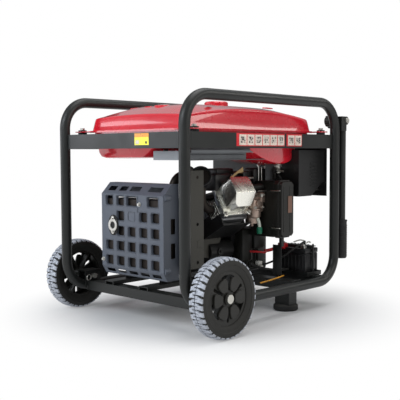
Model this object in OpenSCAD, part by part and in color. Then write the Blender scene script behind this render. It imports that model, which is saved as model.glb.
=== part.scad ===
// Portable generator set: tube frame with two wheels, two folding handles, a fuel tank on top,
// an inclined single-cylinder engine, an alternator and a guarded muffler. Millimetres, +Z up.
// Origin: on the ground, in the middle of the machine's length and width. The wheels and the
// muffler are at -X, the handles and the control panel at +X, the cylinder head at -Y.

/* [Frame] */
// Length of a side hoop between the centres of its upright tubes
hoop_length = 710; // [660:1:860]
// Distance between the two side hoops, centre to centre
hoop_spread = 535; // [500:1:650]
// Height of a side hoop between the centres of its long tubes
hoop_height = 590; // [560:1:710]
// Outside diameter of the frame tube
tube_d = 32; // [26:0.5:36]
// Wall of the frame tube
tube_wall = 2; // [1.5:0.1:3]
// Radius of the hoop corners at the tube centre
bend_r = 85; // [60:1:100]
// Height of the lower tube centres above the ground
hoop_low = 84; // [76:1:96]
// Height of the upright leg of the tank rails
rail_h = 45; // [35:1:55]
// Thickness of the tank rails
rail_t = 3; // [2:0.5:4]
// Width of the flat top of the tank rails
rail_flange = 36; // [30:1:40]
// Drop from the upper tube centre to the top of the rails
rail_drop = 104; // [96:1:112]
// Height of the cross members
beam_h = 30; // [24:1:32]
// Width of the cross members
beam_w = 40; // [30:1:50]

/* [Wheels and feet] */
// Outside diameter of the tyres
tyre_d = 228; // [190:1:274]
// Width of the tyres
tyre_w = 50; // [40:1:60]
// Diameter of the rim that the tyre sits on
rim_d = 152; // [128:1:156]
// Distance from the upright tube centre to the axle, along the frame
axle_set = 88; // [80:1:110]
// Diameter of the stub axle pins
axle_d = 16; // [12:0.5:18]
// Gap between the frame tube and the tyre
tyre_gap = 18.5; // [12:0.5:24]
// Diameter of the rubber feet
foot_d = 80; // [60:1:90]
// Height of the rubber feet
foot_h = 20; // [14:1:30]
// Distance from the machine's middle to a foot, across the frame
foot_y = 210; // [150:1:212]

/* [Handles] */
// Diameter of the handle tube
handle_d = 25; // [22:0.5:27]
// Length of a handle from its pivot to its end
handle_len = 463; // [380:1:500]
// Height of the handle pivot below the upper tube centre
pivot_drop = 56; // [54:1:80]
// Distance from the upright tube centre out to the handle pivot
pivot_out = 45; // [42:1:50]
// Diameter of the handle pivot bolt
pivot_d = 10; // [8:0.5:12]
// Diameter of the lock knobs
knob_d = 56; // [44:1:62]
// Outside diameter of the rubber grips
grip_d = 31; // [29:0.5:34]
// Length of the rubber grips
grip_len = 131; // [100:1:150]

/* [Fuel tank] */
// Length of the tank at its seam
tank_l = 582; // [500:1:600]
// Width of the tank at its seam
tank_w = 422; // [350:1:430]
// Height of the upper shell's straight side
tank_side = 50; // [40:1:60]
// Rise of the tank's top above that side
tank_crown = 31; // [20:1:34]
// Depth of the lower shell below the seam
tank_deep = 82; // [60:1:90]
// Depth of the sump below the lower shell
sump_deep = 25; // [15:1:30]
// Sheet thickness of the tank
tank_t = 1.5; // [1:0.1:2]
// Diameter of the filler cap
cap_d = 78; // [60:1:84]

/* [Engine and alternator] */
// Height of the crank axis above the engine's base
crank_h = 106; // [104:1:112]
// Distance of the crank axis from the machine's middle, across the frame
crank_y = 60; // [50:1:66]
// Tilt of the cylinder above level
cyl_tilt = 30; // [25:1:32]
// Bore of the cylinder
bore_d = 88; // [80:0.5:90]
// Length of the crankcase along the crank
case_l = 144; // [136:1:150]
// Width of the valve cover's flange, along the crank
cover_w = 120; // [112:1:124]
// Outside diameter of the alternator
alt_d = 196; // [180:1:200]
// Length of the stator's iron
stator_l = 70; // [60:1:76]
// Air gap between rotor and stator
air_gap = 1; // [0.6:0.1:1.5]
// Outside diameter of the fan housing
shroud_d = 236; // [216:1:240]
// Diameter of the crankshaft in its bearings
shaft_d = 25; // [22:0.5:30]

/* [Muffler] */
// Width of the muffler guard, across the frame
guard_w = 281; // [262:1:290]
// Height of the guard's flat front
guard_h = 225; // [215:1:235]
// Height and depth of the guard's sloping top
guard_bevel = 34; // [30:1:40]
// Depth of the guard
guard_t = 62; // [58:1:64]
// Outside diameter of the exhaust pipe
pipe_d = 26; // [22:1:26]
// Bore of the exhaust outlet
outlet_d = 22; // [18:0.5:24]
// Distance between the two outlet studs
outlet_studs = 40; // [36:1:46]

/* [Control panel] */
// Width of the control panel, across the frame
panel_w = 380; // [330:1:400]
// Height of the panel box
panel_h = 152; // [140:1:156]
// Depth of the panel box
panel_deep = 150; // [130:1:160]
// Diameter of the earth stud
earth_d = 6; // [5:0.5:8]

/* [Battery and air cleaner] */
// Battery size along the frame
batt_x = 70; // [60:1:76]
// Battery size across the frame
batt_y = 113; // [90:1:120]
// Battery height without its posts
batt_z = 95; // [80:1:104]
// Height of the air cleaner
air_h = 180; // [150:1:190]
// Depth of the air cleaner's cover, across the frame
air_cover = 28; // [20:1:32]

/* [Fits] */
// Radial clearance of turning parts on their pins
run_fit = 0.05; // [0.03:0.01:0.1]
// Side clearance between moving parts
side_gap = 0.6; // [0.4:0.1:1]
// Depth that welded and pressed parts bite into each other
bite = 0.2; // [0.1:0.05:0.4]

/* [Hidden] */
$fn = 48;
eps = 0.01;
hx = hoop_length / 2;
hy = hoop_spread / 2;
tr = tube_d / 2;
top_z = hoop_low + hoop_height;
rail_top = top_z - rail_drop;
rail_low = rail_top - rail_h;
wheel_x = -hx + axle_set;
wheel_y = hy + tr + tyre_gap;
reach_back = hx - axle_set + tyre_d / 2;
pivot_x = hx + pivot_out;
pivot_z = top_z - pivot_drop;
knob_r = knob_d / 2;
reach_front = pivot_x + knob_r;
fx = (reach_back - reach_front) / 2;
beam_top = hoop_low + beam_h / 2;
beam_low = hoop_low - beam_h / 2;
foot_x = 165;
end_x = 300;
chan_h = 12;
chan_w = 40;
mount_h = 25;
base_z = beam_top + chan_h + mount_h;
crank_z = base_z + crank_h;
case_r = 78;
half_case = case_l / 2;
seat_s = 95;
cyl_len = 70;
head_len = 48;
cover_flange = 6;
cover_h = 114;
cover_up = 19;
cover_len = 58;
head_w = 120;
head_s = seat_s + cyl_len;
cover_s = head_s + head_len;
port_s = head_s + 18;
port_r = 17;
port_y = crank_y - port_s * cos(cyl_tilt);
port_z = crank_z + port_s * sin(cyl_tilt);
alt_r = alt_d / 2;
adapt_l = 28;
stator_x1 = -half_case - adapt_l;
stator_x0 = stator_x1 - stator_l;
bell_l = 45;
bell_x0 = stator_x0 - bell_l;
rotor_r = 65;
shroud_r = shroud_d / 2;
shroud_l = 72;
shroud_x1 = half_case + shroud_l;
fly_r = 92;
recoil_r = 96;
start_y = -98;
start_z = -48;
start_r = 30;
guard_x0 = -300;
guard_x1 = guard_x0 + guard_t;
guard_y = 15.5;
guard_z = 162;
guard_foot = 25;
muf_x0 = guard_x0 + 10;
muf_x1 = bell_x0 - 7;
muf_w = guard_w - 14;
muf_low = guard_z - 2;
muf_top = guard_z + guard_h - 15;
pipe_x = muf_x1 - pipe_d / 2 - 2;
pipe_bend = 45;
pipe_z = muf_top + 73;
outlet_y = 99;
outlet_z = 291;
seam_z = rail_top + 8;
flange_t = 3;
shell_z = seam_z + flange_t;
mount_x = 300;
mount_y = hy - rail_flange / 2;
cap_x = 60;
gauge_x = -175;
pan_shallow = 46;
pan_x1 = 206;
pan_y0 = -50;
sump_w = 166;
sump_x0 = -9;
valve_x = 176;
valve_y = -168;
panel_x1 = hx + rail_t / 2;
panel_x0 = panel_x1 - panel_deep;
panel_y0 = -hy + tr + 21.5;
panel_top = rail_low - 5;
panel_low = panel_top - panel_h;
batt_x0 = 258;
batt_y0 = -hy + tr + 31.5;
tray_t = 2;
batt_z0 = beam_top + tray_t;
air_x0 = 118;
air_x1 = 182;
air_y1 = -100;
air_y0 = -197;
air_z0 = 240;
carb_y = port_y - 30;
carb_z = port_z + 12;

// ---- shared shapes ----

module along_x(x0, x1, r) {
  translate([x0, 0, 0]) rotate([0, 90, 0]) cylinder(h = x1 - x0, r = r);
}

module along_y(y0, y1, r) {
  translate([0, y0, 0]) rotate([-90, 0, 0]) cylinder(h = y1 - y0, r = r);
}

module block(x0, x1, y0, y1, z0, z1) {
  translate([x0, y0, z0]) cube([x1 - x0, y1 - y0, z1 - z0]);
}

// Upright prism with round corners, centred on x and y
module slab(lx, ly, r, z0, z1) {
  translate([0, 0, z0]) linear_extrude(z1 - z0) round_rect(lx, ly, r);
}

module round_rect(lx, ly, r) {
  square([lx, ly - 2 * r], center = true);
  square([lx - 2 * r, ly], center = true);
  for (x = [-1, 1], y = [-1, 1])
    translate([x * (lx / 2 - r), y * (ly / 2 - r)]) circle(r);
}

// Places the machine so that the origin is in its middle
module placed() {
  translate([fx, 0, 0]) children();
}

// Engine frame: origin on the crank axis in the cylinder's plane
module at_crank() {
  placed() translate([0, crank_y, crank_z]) children();
}

// Cylinder frame: +Z runs out along the cylinder, +Y is its upper side
module at_cylinder() {
  at_crank() rotate([90 - cyl_tilt, 0, 0]) children();
}

function mix4(a, b, c, d, t) = 0.5 * (2 * b + (c - a) * t + (2 * a - 5 * b + 4 * c - d) * t * t
  + (3 * b - a - 3 * c + d) * t * t * t);
function route(p, k) = [for (i = [0:len(p) - 2], j = [0:k - 1])
  mix4(p[max(i - 1, 0)], p[i], p[i + 1], p[min(i + 2, len(p) - 1)], j / k), p[len(p) - 1]];
function unit(v) = v / norm(v);
function heading(q, i) = unit(q[min(i + 1, len(q) - 1)] - q[max(i - 1, 0)]);

// Round hose or lead along hand-set points
module hose(points, d, side, k = 2, n = 10) {
  q = route(points, k);
  m = len(q);
  rings = [for (i = [0:m - 1])
    let (t = heading(q, i), u = unit(cross(t, side)), w = cross(t, u))
    for (a = [0:n - 1]) q[i] + d / 2 * (cos(360 * a / n) * u + sin(360 * a / n) * w)];
  walls = [for (i = [0:m - 2], a = [0:n - 1])
    [i * n + a, i * n + (a + 1) % n, (i + 1) * n + (a + 1) % n, (i + 1) * n + a]];
  start = [[for (a = [n - 1:-1:0]) a]];
  finish = [[for (a = [0:n - 1]) (m - 1) * n + a]];
  polyhedron(points = rings, faces = concat(start, walls, finish));
}

// ---- frame ----

// One run of tube between two ends, hollow
module tube_run(l) {
  difference() {
    cylinder(h = l, r = tr);
    translate([0, 0, -1]) cylinder(h = l + 2, r = tr - tube_wall);
  }
}

module tube_bend() {
  rotate_extrude(angle = 90) translate([bend_r, 0]) difference() {
    circle(tr);
    circle(tr - tube_wall);
  }
}

module hoop(side) {
  straight = hx - bend_r;
  rise = hoop_height / 2 - bend_r;
  color("#30353a") placed() translate([0, side * hy, hoop_low + hoop_height / 2]) difference() {
    union() {
      for (s = [-1, 1]) {
        translate([-straight, 0, s * hoop_height / 2]) rotate([0, 90, 0]) tube_run(2 * straight);
        translate([s * hx, 0, -rise]) tube_run(2 * rise);
      }
      for (s = [-1, 1], t = [-1, 1])
        translate([s * straight, 0, t * rise]) rotate([90, 0, 0])
          rotate([0, 0, s > 0 ? (t > 0 ? 0 : 270) : (t > 0 ? 90 : 180)]) tube_bend();
    }
    // Vent hole for the welds, under the lower tube
    translate([0, 0, -hoop_height / 2 - tr - 1]) cylinder(h = tube_wall + 5, r = 3);
  }
}

module hoop_left() hoop(-1);

module hoop_right() hoop(1);

module tank_rails() {
  reach = hx - tr + bite;
  span = hy - tr + bite;
  inner = rail_flange - rail_t / 2;
  color("#30353a") placed() {
    for (s = [-1, 1]) {
      difference() {
        union() {
          block(-reach, reach, s * hy - rail_t / 2, s * hy + rail_t / 2, rail_low, rail_top);
          block(-reach, reach, s > 0 ? hy - inner : -hy - rail_t / 2,
            s > 0 ? hy + rail_t / 2 : -hy + inner, rail_top - rail_t, rail_top);
        }
        for (x = [-1, 1]) translate([x * mount_x, s * mount_y, rail_top - rail_t - 1])
          cylinder(h = rail_t + 2, r = 4.5);
      }
      block(s * hx - rail_t / 2, s * hx + rail_t / 2, -span, span, rail_low, rail_top);
      block(s > 0 ? hx - inner : -hx + rail_t / 2, s > 0 ? hx - rail_t / 2 : -hx + inner,
        -hy + inner, hy - inner, rail_top - rail_t, rail_top);
    }
  }
}

module cross_members() {
  span = hy - tr + bite;
  brace = 5;
  color("#30353a") placed() {
    for (x = [wheel_x, foot_x, end_x]) difference() {
      block(x - beam_w / 2, x + beam_w / 2, -span, span, beam_low, beam_top);
      block(x - beam_w / 2 + 3, x + beam_w / 2 - 3, -span - 1, span + 1, beam_low + 3, beam_top - 3);
      if (x == foot_x) for (s = [-1, 1]) translate([x, s * foot_y, beam_low - 1])
        cylinder(h = 6, r = 4.5);
    }
    // Foot posts: upright channels, open towards the middle
    for (s = [-1, 1]) translate([foot_x, s * foot_y, 0]) difference() {
      block(-20, 20, -29, 29, foot_h, beam_low);
      block(-17, 17, s > 0 ? -30 : -26, s > 0 ? 26 : 30, foot_h + 4, beam_low + 1);
      translate([0, 0, foot_h - 1]) cylinder(h = 6, r = 4.4);
    }
    // Saddles over the lower tubes that carry the stub axles
    for (s = [-1, 1]) translate([wheel_x, s * hy, 0]) difference() {
      block(-30, 30, -tr - brace + bite, tr + brace - bite, hoop_low, tyre_d / 2 + 18);
      block(-31, 31, -tr + bite, tr - bite, hoop_low - 1, tyre_d / 2 + 14);
      translate([0, 0, tyre_d / 2]) along_y(-40, 40, axle_d / 2 + run_fit);
    }
  }
}

module engine_rails() {
  color("#2c3034") placed() for (y = [crank_y - 80, crank_y + 80])
    translate([0, y, 0]) difference() {
      block(wheel_x - beam_w / 2, foot_x + beam_w / 2, -chan_w / 2, chan_w / 2, beam_top,
        beam_top + chan_h);
      block(wheel_x - beam_w / 2 - 1, foot_x + beam_w / 2 + 1, -chan_w / 2 + 3, chan_w / 2 - 3,
        beam_top - 1, beam_top + chan_h - 3);
      for (x = [bell_x0 + 22, 45]) translate([x, 0, beam_top]) cylinder(h = 20, r = 4.5);
    }
}

module rubber_feet() {
  color("#1b1b1c") placed() for (s = [-1, 1]) translate([foot_x, s * foot_y, 0])
    rotate_extrude() polygon([[9, 0], [foot_d / 2 - 3, 0], [foot_d / 2, 3], [foot_d / 2, foot_h - 4],
      [foot_d / 2 - 5, foot_h], [4.4, foot_h], [4.4, 8], [9, 8]]);
}

module rubber_mounts() {
  color("#191919") placed() {
    for (x = [bell_x0 + 22, 45], y = [-80, 80]) translate([x, crank_y + y, base_z - mount_h])
      rotate_extrude() polygon([[4.2, 0], [20, 0], [20, 5], [16, mount_h / 2], [20, mount_h - 5],
        [20, mount_h], [4.2, mount_h]]);
    for (x = [-1, 1], y = [-1, 1]) translate([x * mount_x, y * mount_y, rail_top])
      rotate_extrude() polygon([[4.2, 0], [14, 0], [14, 8], [6.8, 8], [6.8, 8 + flange_t],
        [13, 8 + flange_t], [13, 12 + flange_t], [4.2, 12 + flange_t]]);
  }
}

// Flanged hexagon bolt, head downwards at z = 0, shank along +Z
module hex_bolt(d, l) {
  translate([0, 0, -d * 0.65]) cylinder(h = d * 0.65, r = d * 0.9, $fn = 6);
  cylinder(h = 1.4, r = d * 1.05);
  cylinder(h = l, r = d / 2);
}

module bolts() {
  color("#c9ccd0") placed() {
    // Tank bolts, down through the rubbers and the rails
    for (x = [-1, 1], y = [-1, 1])
      translate([x * mount_x, y * mount_y, rail_top + 13.4 + flange_t]) rotate([180, 0, 0])
        hex_bolt(8, 24);
    for (x = [-1, 1], y = [-1, 1]) translate([x * mount_x, y * mount_y, rail_top - rail_t - 6.5])
      cylinder(h = 6.5, r = 7, $fn = 6);
    // Engine bolts, up from inside the channels into the rubbers
    for (x = [bell_x0 + 22, 45], y = [-80, 80])
      translate([x, crank_y + y, beam_top + chan_h - 4.4]) hex_bolt(8, 20);
    // Foot bolts, up into the posts
    for (s = [-1, 1]) translate([foot_x, s * foot_y, 6.6]) {
      hex_bolt(8, foot_h + 6);
      translate([0, 0, foot_h - 2.6]) cylinder(h = 6.5, r = 7, $fn = 6);
    }
    // Handle pivots: round heads outside, shanks through both cheeks
    for (s = [-1, 1]) translate([pivot_x, s * hy, pivot_z]) rotate([0, 0, s > 0 ? 0 : 180]) {
      along_y(-handle_d / 2 - side_gap - 29, handle_d / 2 + side_gap + 4 + eps, pivot_d / 2);
      along_y(handle_d / 2 + side_gap + 4, handle_d / 2 + side_gap + 9, pivot_d * 0.9);
    }
    // Panel screws into the end rail
    for (y = [panel_y0 + 14, panel_y0 + panel_w - 14])
      translate([panel_x1 + 4.4, y, rail_low + rail_h / 2]) rotate([0, -90, 0]) hex_bolt(6, 1.4);
    // Earth stud with its nut, low on the panel
    translate([panel_x1 + 3, panel_y0 + 30, panel_low + 18]) {
      along_x(-20, 22, earth_d / 2);
      rotate([0, 90, 0]) cylinder(h = earth_d * 0.8, r = earth_d, $fn = 6);
    }
  }
  color("#c9ccd0") at_cylinder() for (x = [-1, 1], y = [-1, 1])
    translate([x * (cover_w / 2 - 7), cover_up + y * (cover_h / 2 - 7), cover_s + cover_flange + 1.4])
      rotate([180, 0, 0]) hex_bolt(6, 1.4);
}

// ---- fuel system ----

// Gently arched section: flat below, a shallow arc from edge to edge above
function arch(w, rise, top, low, n = 16) =
  let (r = (w * w / 4 + rise * rise) / (2 * rise), a = asin(w / 2 / r))
  concat([[w / 2 + 20, low], [w / 2 + 20, top - rise]],
    [for (i = [0:n]) [r * sin(a - 2 * a * i / n), top - r + r * cos(a - 2 * a * i / n)]],
    [[-w / 2 - 20, top - rise], [-w / 2 - 20, low]]);

module tank_top(o) {
  top = shell_z + tank_side + tank_crown - o;
  low = shell_z - (o > 0 ? 1 : 0);
  intersection() {
    slab(tank_l - 6 - 2 * o, tank_w - 6 - 2 * o, 40 - o, low, top + 1);
    rotate([90, 0, 0]) translate([0, 0, -tank_w / 2]) linear_extrude(tank_w)
      polygon(arch(tank_l, tank_crown, top, low - 1));
    rotate([90, 0, 90]) translate([0, 0, -tank_l / 2]) linear_extrude(tank_l)
      polygon(arch(tank_w, tank_crown, top, low - 1));
  }
}

module tank_upper() {
  neck = cap_d / 2 - 9;
  top = shell_z + tank_side + tank_crown;
  color("#b8202c") placed() {
    difference() {
      union() {
        difference() {
          tank_top(0);
          tank_top(tank_t);
        }
        translate([cap_x, 0, top - 12]) cylinder(h = 20, r = neck);
        translate([gauge_x, 0, top - 24]) cylinder(h = 20, r = 24);
      }
      translate([cap_x, 0, top - 20]) cylinder(h = 40, r = neck - 2);
      translate([gauge_x, 0, top - 14]) cylinder(h = 20, r = 19.2);
      translate([gauge_x, 0, top - 30]) cylinder(h = 40, r = 5);
    }
  }
}

module tank_pan(o) {
  back = tank_l / 2 - 10;
  side = tank_w / 2 - 10;
  deep_x = (pan_x1 - back) / 2;
  deep_l = pan_x1 + back;
  sump_l = pan_x1 - sump_x0;
  slab(2 * back - 2 * o, 2 * side - 2 * o, 34 - o, seam_z - pan_shallow + o, seam_z + (o > 0 ? 9 : 0));
  translate([deep_x, (side + pan_y0) / 2, 0]) slab(deep_l - 2 * o, side - pan_y0 - 2 * o, 34 - o,
    seam_z - tank_deep + o, seam_z - pan_shallow + 5);
  translate([sump_x0 + sump_l / 2, sump_w / 2 - side, 0])
    slab(sump_l - 2 * o, sump_w - 2 * o, 20 - o, seam_z - tank_deep - sump_deep + o,
      seam_z - pan_shallow + 5);
}

module tank_lower() {
  color("#a81d28") placed() difference() {
    union() {
      tank_pan(0);
      slab(tank_l, tank_w, 43, seam_z, shell_z);
      for (x = [-1, 1], y = [-1, 1])
        block(x * mount_x - 17, x * mount_x + 17, y > 0 ? tank_w / 2 - 40 : -mount_y - 16,
          y > 0 ? mount_y + 16 : -tank_w / 2 + 40, seam_z, shell_z);
    }
    tank_pan(tank_t);
    for (x = [-1, 1], y = [-1, 1]) translate([x * mount_x, y * mount_y, seam_z - 1])
      cylinder(h = flange_t + 2, r = 7);
    translate([valve_x, valve_y, seam_z - tank_deep - sump_deep - 1]) cylinder(h = 10, r = 4);
  }
}

module tank_heat_shield() {
  x0 = -tank_l / 2 + 15;
  x1 = sump_x0 - 4;
  y0 = -tank_w / 2 + 19;
  y1 = pan_y0 - 8;
  pan = seam_z - pan_shallow;
  low = seam_z - tank_deep - 5;
  color("#8f9398") placed() {
    difference() {
      block(x0, x1, y0, y1, low, low + 27);
      block(x0 + 1.2, x1 - 1.2, y0 + 1.2, y1 - 1.2, low + 1.2, low + 28);
    }
    // Tabs welded up under the shallow pan
    for (x = [x0 + 40, x1 - 60], y = [y0, y1 - 1.2])
      block(x, x + 20, y, y + 1.2, low + 27 - eps, pan);
  }
}

module fuel_cap() {
  top = shell_z + tank_side + tank_crown;
  color("#17181a") placed() translate([cap_x, 0, top + 8 + side_gap]) {
    difference() {
      rotate_extrude() polygon([[0, 9], [0, 1.5], [0, -10], [cap_d / 2 - 15, -10], [cap_d / 2 - 15, -eps],
        [cap_d / 2 - 8, 0], [cap_d / 2 - 8, -8.2], [cap_d / 2, -8.2], [cap_d / 2, 5], [cap_d / 2 - 4, 9]]);
      for (a = [0:30:330]) rotate(a) translate([cap_d / 2 + 2.5, 0, -20]) cylinder(h = 40, r = 4);
    }
  }
}

module fuel_gauge() {
  top = shell_z + tank_side + tank_crown;
  color("#e8e8e4") placed() translate([gauge_x, 0, top - 14]) {
    cylinder(h = 12, r = 19);
    translate([0, 0, -14]) cylinder(h = 15, r = 4);
  }
}

module fuel_valve() {
  low = seam_z - tank_deep - sump_deep;
  color("#b9bcc0") placed() translate([valve_x, valve_y, low]) difference() {
    union() {
      translate([0, 0, -6]) cylinder(h = 6, r = 12, $fn = 6);
      translate([0, 0, -26]) cylinder(h = 21, r = 8);
      translate([0, 0, -16]) along_x(-15, 0, 9);
      translate([0, 0, -20]) along_y(-22, 0, 3.2);
      translate([0, 0, -1]) cylinder(h = 8, r = 3.9);
    }
    translate([0, 0, -16]) along_x(-16, -6, 4 + run_fit);
  }
}

module fuel_valve_lever() {
  low = seam_z - tank_deep - sump_deep;
  color("#2a2a2c") placed() translate([valve_x, valve_y, low - 16]) {
    along_x(-18, -8, 4);
    along_x(-22, -15 - side_gap, 9);
    block(-22, -17, -4, 4, -28, 0);
  }
}

fuel_route = [[176, -191, 451], [178, -206, 448], [190, -226, 441], [206, -238, 430],
  [226, -241, 414], [236, -241, 396], [228, -240, 376], [212, -238, 362], [199, -226, 352],
  [194, -204, 346], [193, -170, 342], [193, -130, 340], [191, -104, 338], [180, -88, 336],
  [158, -80, 335], [130, -78, 334], [108, -80, 333.5], [95, -85, 333.5], [91, -93, 333.5]];
live_route = [[276, -196, 211], [262, -195, 216], [240, -186, 216], [210, -168, 206],
  [176, -148, 190], [140, -132, 180], [100, -120, 176], [60, -110, 178], [30, -102, 184],
  [12, -94, 191], [4, -80, 194]];
earth_route = [[276, -131, 211], [262, -130, 217], [240, -124, 214], [214, -110, 196],
  [190, -92, 172], [165, -78, 156], [135, -66, 150], [105, -56, 149], [80, -46, 149],
  [64, -38, 149.5]];
spark_route = [[8, -66, 400], [10, -58, 413], [18, -44, 421], [34, -28, 421], [50, -12, 411],
  [62, 4, 396], [72, 18, 380], [80, 32, 362]];

module hoses_leads() {
  color("#202022") placed() {
    hose(fuel_route, 7, [0.1, 0.2, 1]);
    hose(live_route, 6, [0.2, 0.1, 1]);
    hose(earth_route, 6, [0.2, 0.1, 1]);
    hose(spark_route, 7, [0.7, -0.7, 0.2]);
  }
}

// ---- engine ----

module crankcase() {
  color("#9a9da1") {
    difference() {
      union() {
        at_crank() along_x(-half_case, half_case, case_r);
        at_crank() block(-half_case, half_case, -66, 66, -crank_h + 10, 0);
        at_crank() block(-half_case + 6, half_case - 6, -102, 102, -crank_h, -crank_h + 10);
        at_cylinder() block(-60, 60, -55, 55, 0, seat_s);
      }
      at_crank() along_x(-half_case + 12, half_case - 12, 60);
      at_crank() along_x(-half_case - 1, half_case + 1, shaft_d / 2 + run_fit);
      at_cylinder() cylinder(h = seat_s + 1, r = bore_d / 2 + 1);
    }
  }
}

module cooling_fins(n, gap, w, t, z0) {
  for (i = [0:n - 1]) translate([0, 0, z0 + i * gap]) linear_extrude(2.6) round_rect(w, t, 8);
}

module cylinder_barrel() {
  color("#a4a7ab") at_cylinder() difference() {
    union() {
      translate([0, 0, seat_s]) cylinder(h = cyl_len, r = bore_d / 2 + 8);
      translate([0, 0, seat_s]) linear_extrude(7) round_rect(118, 108, 8);
      translate([0, 0, seat_s + cyl_len - 6]) linear_extrude(6) round_rect(118, 96, 8);
      cooling_fins(5, 9.4, 118, 116, seat_s + 13);
    }
    translate([0, 0, seat_s - 1]) cylinder(h = cyl_len + 2, r = bore_d / 2);
  }
}

module cylinder_head() {
  color("#a9acb0") at_cylinder() difference() {
    union() {
      translate([0, 0, head_s]) linear_extrude(8) round_rect(head_w, 96, 8);
      translate([0, 0, head_s]) linear_extrude(head_len) round_rect(head_w - 26, 70, 8);
      translate([0, cover_up, cover_s - 7]) linear_extrude(7) round_rect(head_w, cover_h, 8);
      cooling_fins(3, 9.4, head_w, 92, head_s + 14);
      translate([0, 0, port_s]) along_x(-head_w / 2, head_w / 2, port_r);
    }
    translate([0, 0, port_s]) along_x(-head_w / 2 - 1, -28, pipe_d / 2 - 1.5);
    translate([0, 0, port_s]) along_x(28, head_w / 2 + 1, 11);
    translate([0, 0, head_s - 1]) cylinder(h = 9, r = 36);
    translate([8, 0, head_s + 24]) rotate([-90, 0, 0]) cylinder(h = 80, r = 12.6);
    translate([8, 0, head_s + 24]) rotate([-90, 0, 0]) translate([0, 0, -10])
      cylinder(h = 40, r = 6.5);
  }
}

module valve_cover() {
  color("#c6c9cd") at_cylinder() translate([0, cover_up, cover_s]) difference() {
    union() {
      linear_extrude(cover_flange) round_rect(cover_w, cover_h, 10);
      linear_extrude(cover_len - 8) round_rect(cover_w - 28, cover_h - 16, 12);
      translate([0, 0, cover_len - 8]) linear_extrude(4) round_rect(cover_w - 32, cover_h - 22, 10);
      translate([0, 0, cover_len - 4]) linear_extrude(4) round_rect(cover_w - 40, cover_h - 32, 7);
    }
    translate([0, 0, -1]) linear_extrude(cover_len - 9) round_rect(cover_w - 34, cover_h - 24, 9);
  }
}

module spark_plug() {
  color("#1f1f21") at_cylinder() translate([8, 0, head_s + 24]) rotate([-90, 0, 0]) {
    translate([0, 0, -8]) cylinder(h = 20, r = 6.4);
    cylinder(h = 14, r = 11, $fn = 6);
    translate([0, 0, 12]) cylinder(h = 30, r = 7);
    translate([0, 0, 32]) cylinder(h = 34, r = 11.5);
  }
}

module piston() {
  color("#b7babd") at_cylinder() translate([0, 0, head_s - 52]) difference() {
    cylinder(h = 50, r = bore_d / 2 - 0.06);
    translate([0, 0, -1]) cylinder(h = 42, r = bore_d / 2 - 6);
    for (z = [32, 38, 44]) translate([0, 0, z]) difference() {
      cylinder(h = 1.6, r = bore_d / 2 + 1);
      translate([0, 0, -1]) cylinder(h = 4, r = bore_d / 2 - 2);
    }
  }
}

module crankshaft() {
  color("#86898d") at_crank() {
    along_x(bell_x0 + 12, -20, shaft_d / 2);
    along_x(20, shroud_x1 - 30, shaft_d / 2);
    for (s = [-1, 1]) difference() {
      along_x(s > 0 ? 16 : -34, s > 0 ? 34 : -16, 54);
      for (z = [-1, 1]) block(-40, 40, z > 0 ? 30 : -80, z > 0 ? 80 : -30, -60, 5);
    }
    translate([0, 0, 32]) along_x(-17, 17, 16);
  }
}

module fan_blade_ring(n, r0, r1, x0, x1) {
  for (i = [0:n - 1]) rotate([360 / n * i, 0, 0]) block(x0, x1, r0, r1, -1.5, 1.5);
}

module flywheel() {
  color("#7c7f83") at_crank() difference() {
    union() {
      along_x(half_case + 6, half_case + 24, fly_r);
      along_x(half_case + 6, half_case + 40, 30);
      fan_blade_ring(14, 50, fly_r - 2, half_case + 23, half_case + 48);
    }
    along_x(half_case, shroud_x1, shaft_d / 2 - bite / 2);
  }
}

module starter_motor() {
  color("#8d9095") at_crank() translate([0, start_y, start_z]) {
    along_x(-36, half_case, start_r);
    along_x(-40, -36, 10);
    block(-12, 34, -20, 20, -38, -20);
    translate([4, 0, 0]) along_y(-34, -20, 12);
    translate([4, 0, 0]) along_y(-38, -30, 4);
  }
}

module fan_shroud() {
  x0 = half_case;
  color("#4b4e52") at_crank() {
    difference() {
      along_x(x0, shroud_x1, shroud_r);
      along_x(x0 + 2, shroud_x1 - 2, shroud_r - 2);
      along_x(x0 - 1, x0 + 4, 60);
      along_x(x0 + 4, shroud_x1 + 1, recoil_r - 14);
    }
  }
  // Air guide under the cylinder and across its lower side
  color("#4b4e52") at_cylinder() difference() {
    block(-66, head_w / 2 + 6, -64, -10, seat_s + 6, cover_s - 10);
    block(-64, head_w / 2 + 7, -62, 0, seat_s + 5, cover_s - 9);
    translate([0, 0, port_s]) along_x(-70, -60, 26);
  }
}

module recoil_cover() {
  x0 = shroud_x1;
  color("#26282a") at_crank() difference() {
    rotate([0, 90, 0]) rotate_extrude() polygon([[0, x0 + 44], [0, x0 + 41], [46, x0 + 41],
      [60, x0 + 31], [recoil_r - 14, x0 + 24], [recoil_r - 6, x0 + 3], [recoil_r - 14, x0 + 3],
      [recoil_r - 14, x0], [recoil_r + 8, x0], [recoil_r + 8, x0 + 3], [recoil_r, x0 + 3],
      [recoil_r - 10, x0 + 27], [62, x0 + 34], [48, x0 + 44]]);
    for (i = [0:11]) rotate([30 * i + 15, 0, 0]) block(x0 + 10, x0 + 50, 58, 76, -6, 6);
    translate([x0 + 16, 0, 40]) along_y(60, 120, 8);
  }
}

module recoil_grip() {
  color("#151516") at_crank() translate([shroud_x1 + 16, 0, 40]) {
    along_y(78, 112, 6);
    along_y(110, shroud_r + 16, 8);
    translate([0, shroud_r + 16, 0]) along_x(-34, 34, 10);
  }
}

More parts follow.
